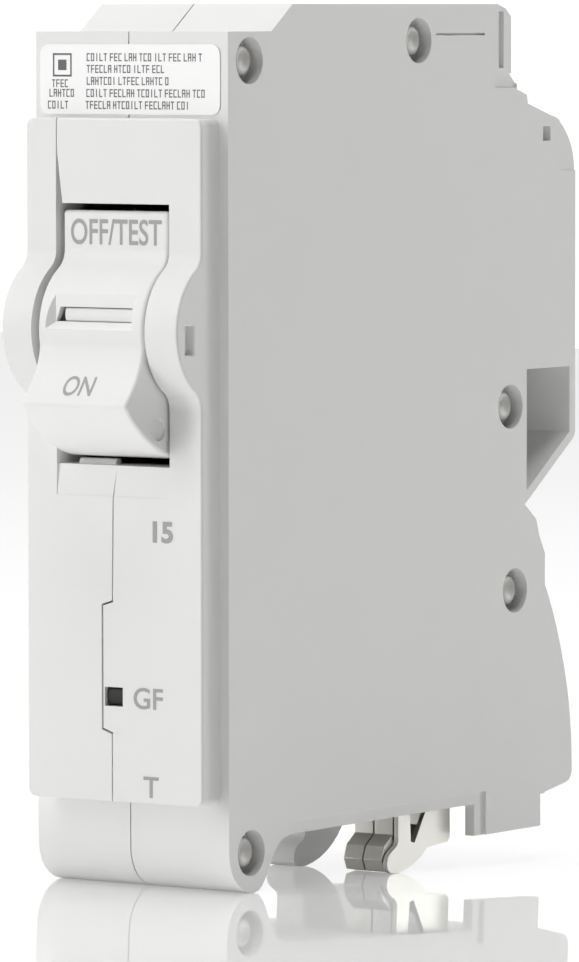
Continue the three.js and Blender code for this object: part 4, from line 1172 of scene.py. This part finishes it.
@dataclass
class Studio:
    """Table top, soft lights and the camera."""

    datum: Datum
    ambient: float = 0.0
    surround: float = 1.12
    panels: tuple[Panel, ...] = (
        Panel("key_panel", -30.0, 24.0, 1.2, 0.4, 1.28, 0.575),
        Panel("rear_panel", 151.0, 24.0, 1.2, 0.25, 1.0, 0.305),
        Panel("top_panel", 5.0, 84.0, 1.2, 0.7, 0.7, 0.62),
        Panel("back_panel", -150.0, 60.0, 1.2, 0.5, 0.5, 0.16),
    )
    table_reach: float = 3.0
    table_gap: float = 0.02
    foot_touch: float = 4.6
    clip_touch: float = 0.15
    azimuth: float = 34.669
    pitch: float = 3.595
    roll: float = 0.063
    lens: float = 279.7
    eye: tuple[float, float, float] = (466.69, -645.23, 93.80)

    def build(self) -> None:
        """Makes the whole studio."""
        self.table()
        self.world()
        self.lights()
        self.camera()

    def table(self) -> None:
        """Lays the table top under the front foot and the clip, which the breaker leans on."""
        foot = Vector((0.0, self.datum.origin.y + self.foot_touch * MM,
                       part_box("right_housing")[0].z))
        clip_low, clip_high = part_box("clip_side_plate")
        clip = Vector((0.0, clip_low.y + self.clip_touch * (clip_high.y - clip_low.y),
                       clip_low.z))
        slope = (clip.z - foot.z) / (clip.y - foot.y)
        bm = bmesh.new()
        reach = self.table_reach
        level = foot.z - slope * foot.y - self.table_gap * MM
        corners = [(-reach, -reach), (reach, -reach), (reach, reach), (-reach, reach)]
        bm.faces.new([bm.verts.new((x, y, level + slope * y)) for x, y in corners])
        new_object("table_top", bm, Stuff.TABLE, weighted=False)

    def world(self) -> None:
        """Sets a white surround that is dimmer as a light than it looks."""
        world = bpy.data.worlds.new("studio_white")
        world.use_nodes = True
        nodes, links = world.node_tree.nodes, world.node_tree.links
        bright = nodes["Background"]
        bright.inputs["Color"].default_value = (1, 1, 1, 1)
        bright.inputs["Strength"].default_value = self.surround
        soft = nodes.new("ShaderNodeBackground")
        soft.inputs["Color"].default_value = (1, 1, 1, 1)
        soft.inputs["Strength"].default_value = self.ambient
        path = nodes.new("ShaderNodeLightPath")
        mix = nodes.new("ShaderNodeMixShader")
        links.new(path.outputs["Is Diffuse Ray"], mix.inputs["Fac"])
        links.new(bright.outputs["Background"], mix.inputs[1])
        links.new(soft.outputs["Background"], mix.inputs[2])
        links.new(mix.outputs["Shader"], nodes["World Output"].inputs["Surface"])
        bpy.context.scene.world = world
        bpy.context.scene.view_settings.view_transform = "Standard"

    def lights(self) -> None:
        """Hangs the soft panels, each given by its direction, distance, size and strength."""
        middle = self.datum.at(0, 30, 48)
        for panel in self.panels:
            side, lift = math.radians(panel.azimuth), math.radians(panel.elevation)
            toward = Vector((math.sin(side) * math.cos(lift), -math.cos(side) * math.cos(lift),
                             math.sin(lift)))
            light = bpy.data.lights.new(panel.name, "AREA")
            light.shape = "RECTANGLE"
            light.size, light.size_y = panel.width, panel.height
            light.energy = panel.strength * math.pi * math.pi * panel.distance**2
            holder = bpy.data.objects.new(panel.name, light)
            bpy.context.scene.collection.objects.link(holder)
            holder.location = middle + toward * panel.distance
            holder.rotation_euler = (-toward).to_track_quat("-Z", "Y").to_euler()

    def camera(self) -> None:
        """Sets the camera: a long lens, from the front right, a little above."""
        data = bpy.data.cameras.new("camera")
        data.sensor_width = 36.0
        data.lens = self.lens
        data.clip_start = 0.01
        holder = bpy.data.objects.new("camera", data)
        bpy.context.scene.collection.objects.link(holder)
        turn = (Matrix.Rotation(math.radians(self.azimuth), 4, "Z")
                @ Matrix.Rotation(math.radians(90 - self.pitch), 4, "X")
                @ Matrix.Rotation(math.radians(-self.roll), 4, "Z"))
        holder.matrix_world = Matrix.Translation(self.datum.at(*self.eye)) @ turn
        bpy.context.scene.camera = holder


# ---- main ----------------------------------------------------------------------------


def main(frame: dict) -> None:
    """Builds the breaker's looks and its studio in order.
    """
    datum = find_datum()
    Studio(datum).build()
    Inside(frame).build()
    Housing(datum, frame).build()
    rocker = Rocker(datum)
    rocker.build()
    for node in sorted(n for n in frame["nodes"] if n.endswith("_rivet")):
        Rivet(datum, node).build()
    Label(datum, frame).build()
    for marking in markings(rocker):
        marking.build(datum)
    FaultWindow(datum).build()
    WindowRib(datum).build()
    PlugClip(frame).build()


if __name__ == "__main__":
    logging.basicConfig(level=logging.INFO, format="%(name)s %(message)s")
    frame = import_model()
    main(frame)
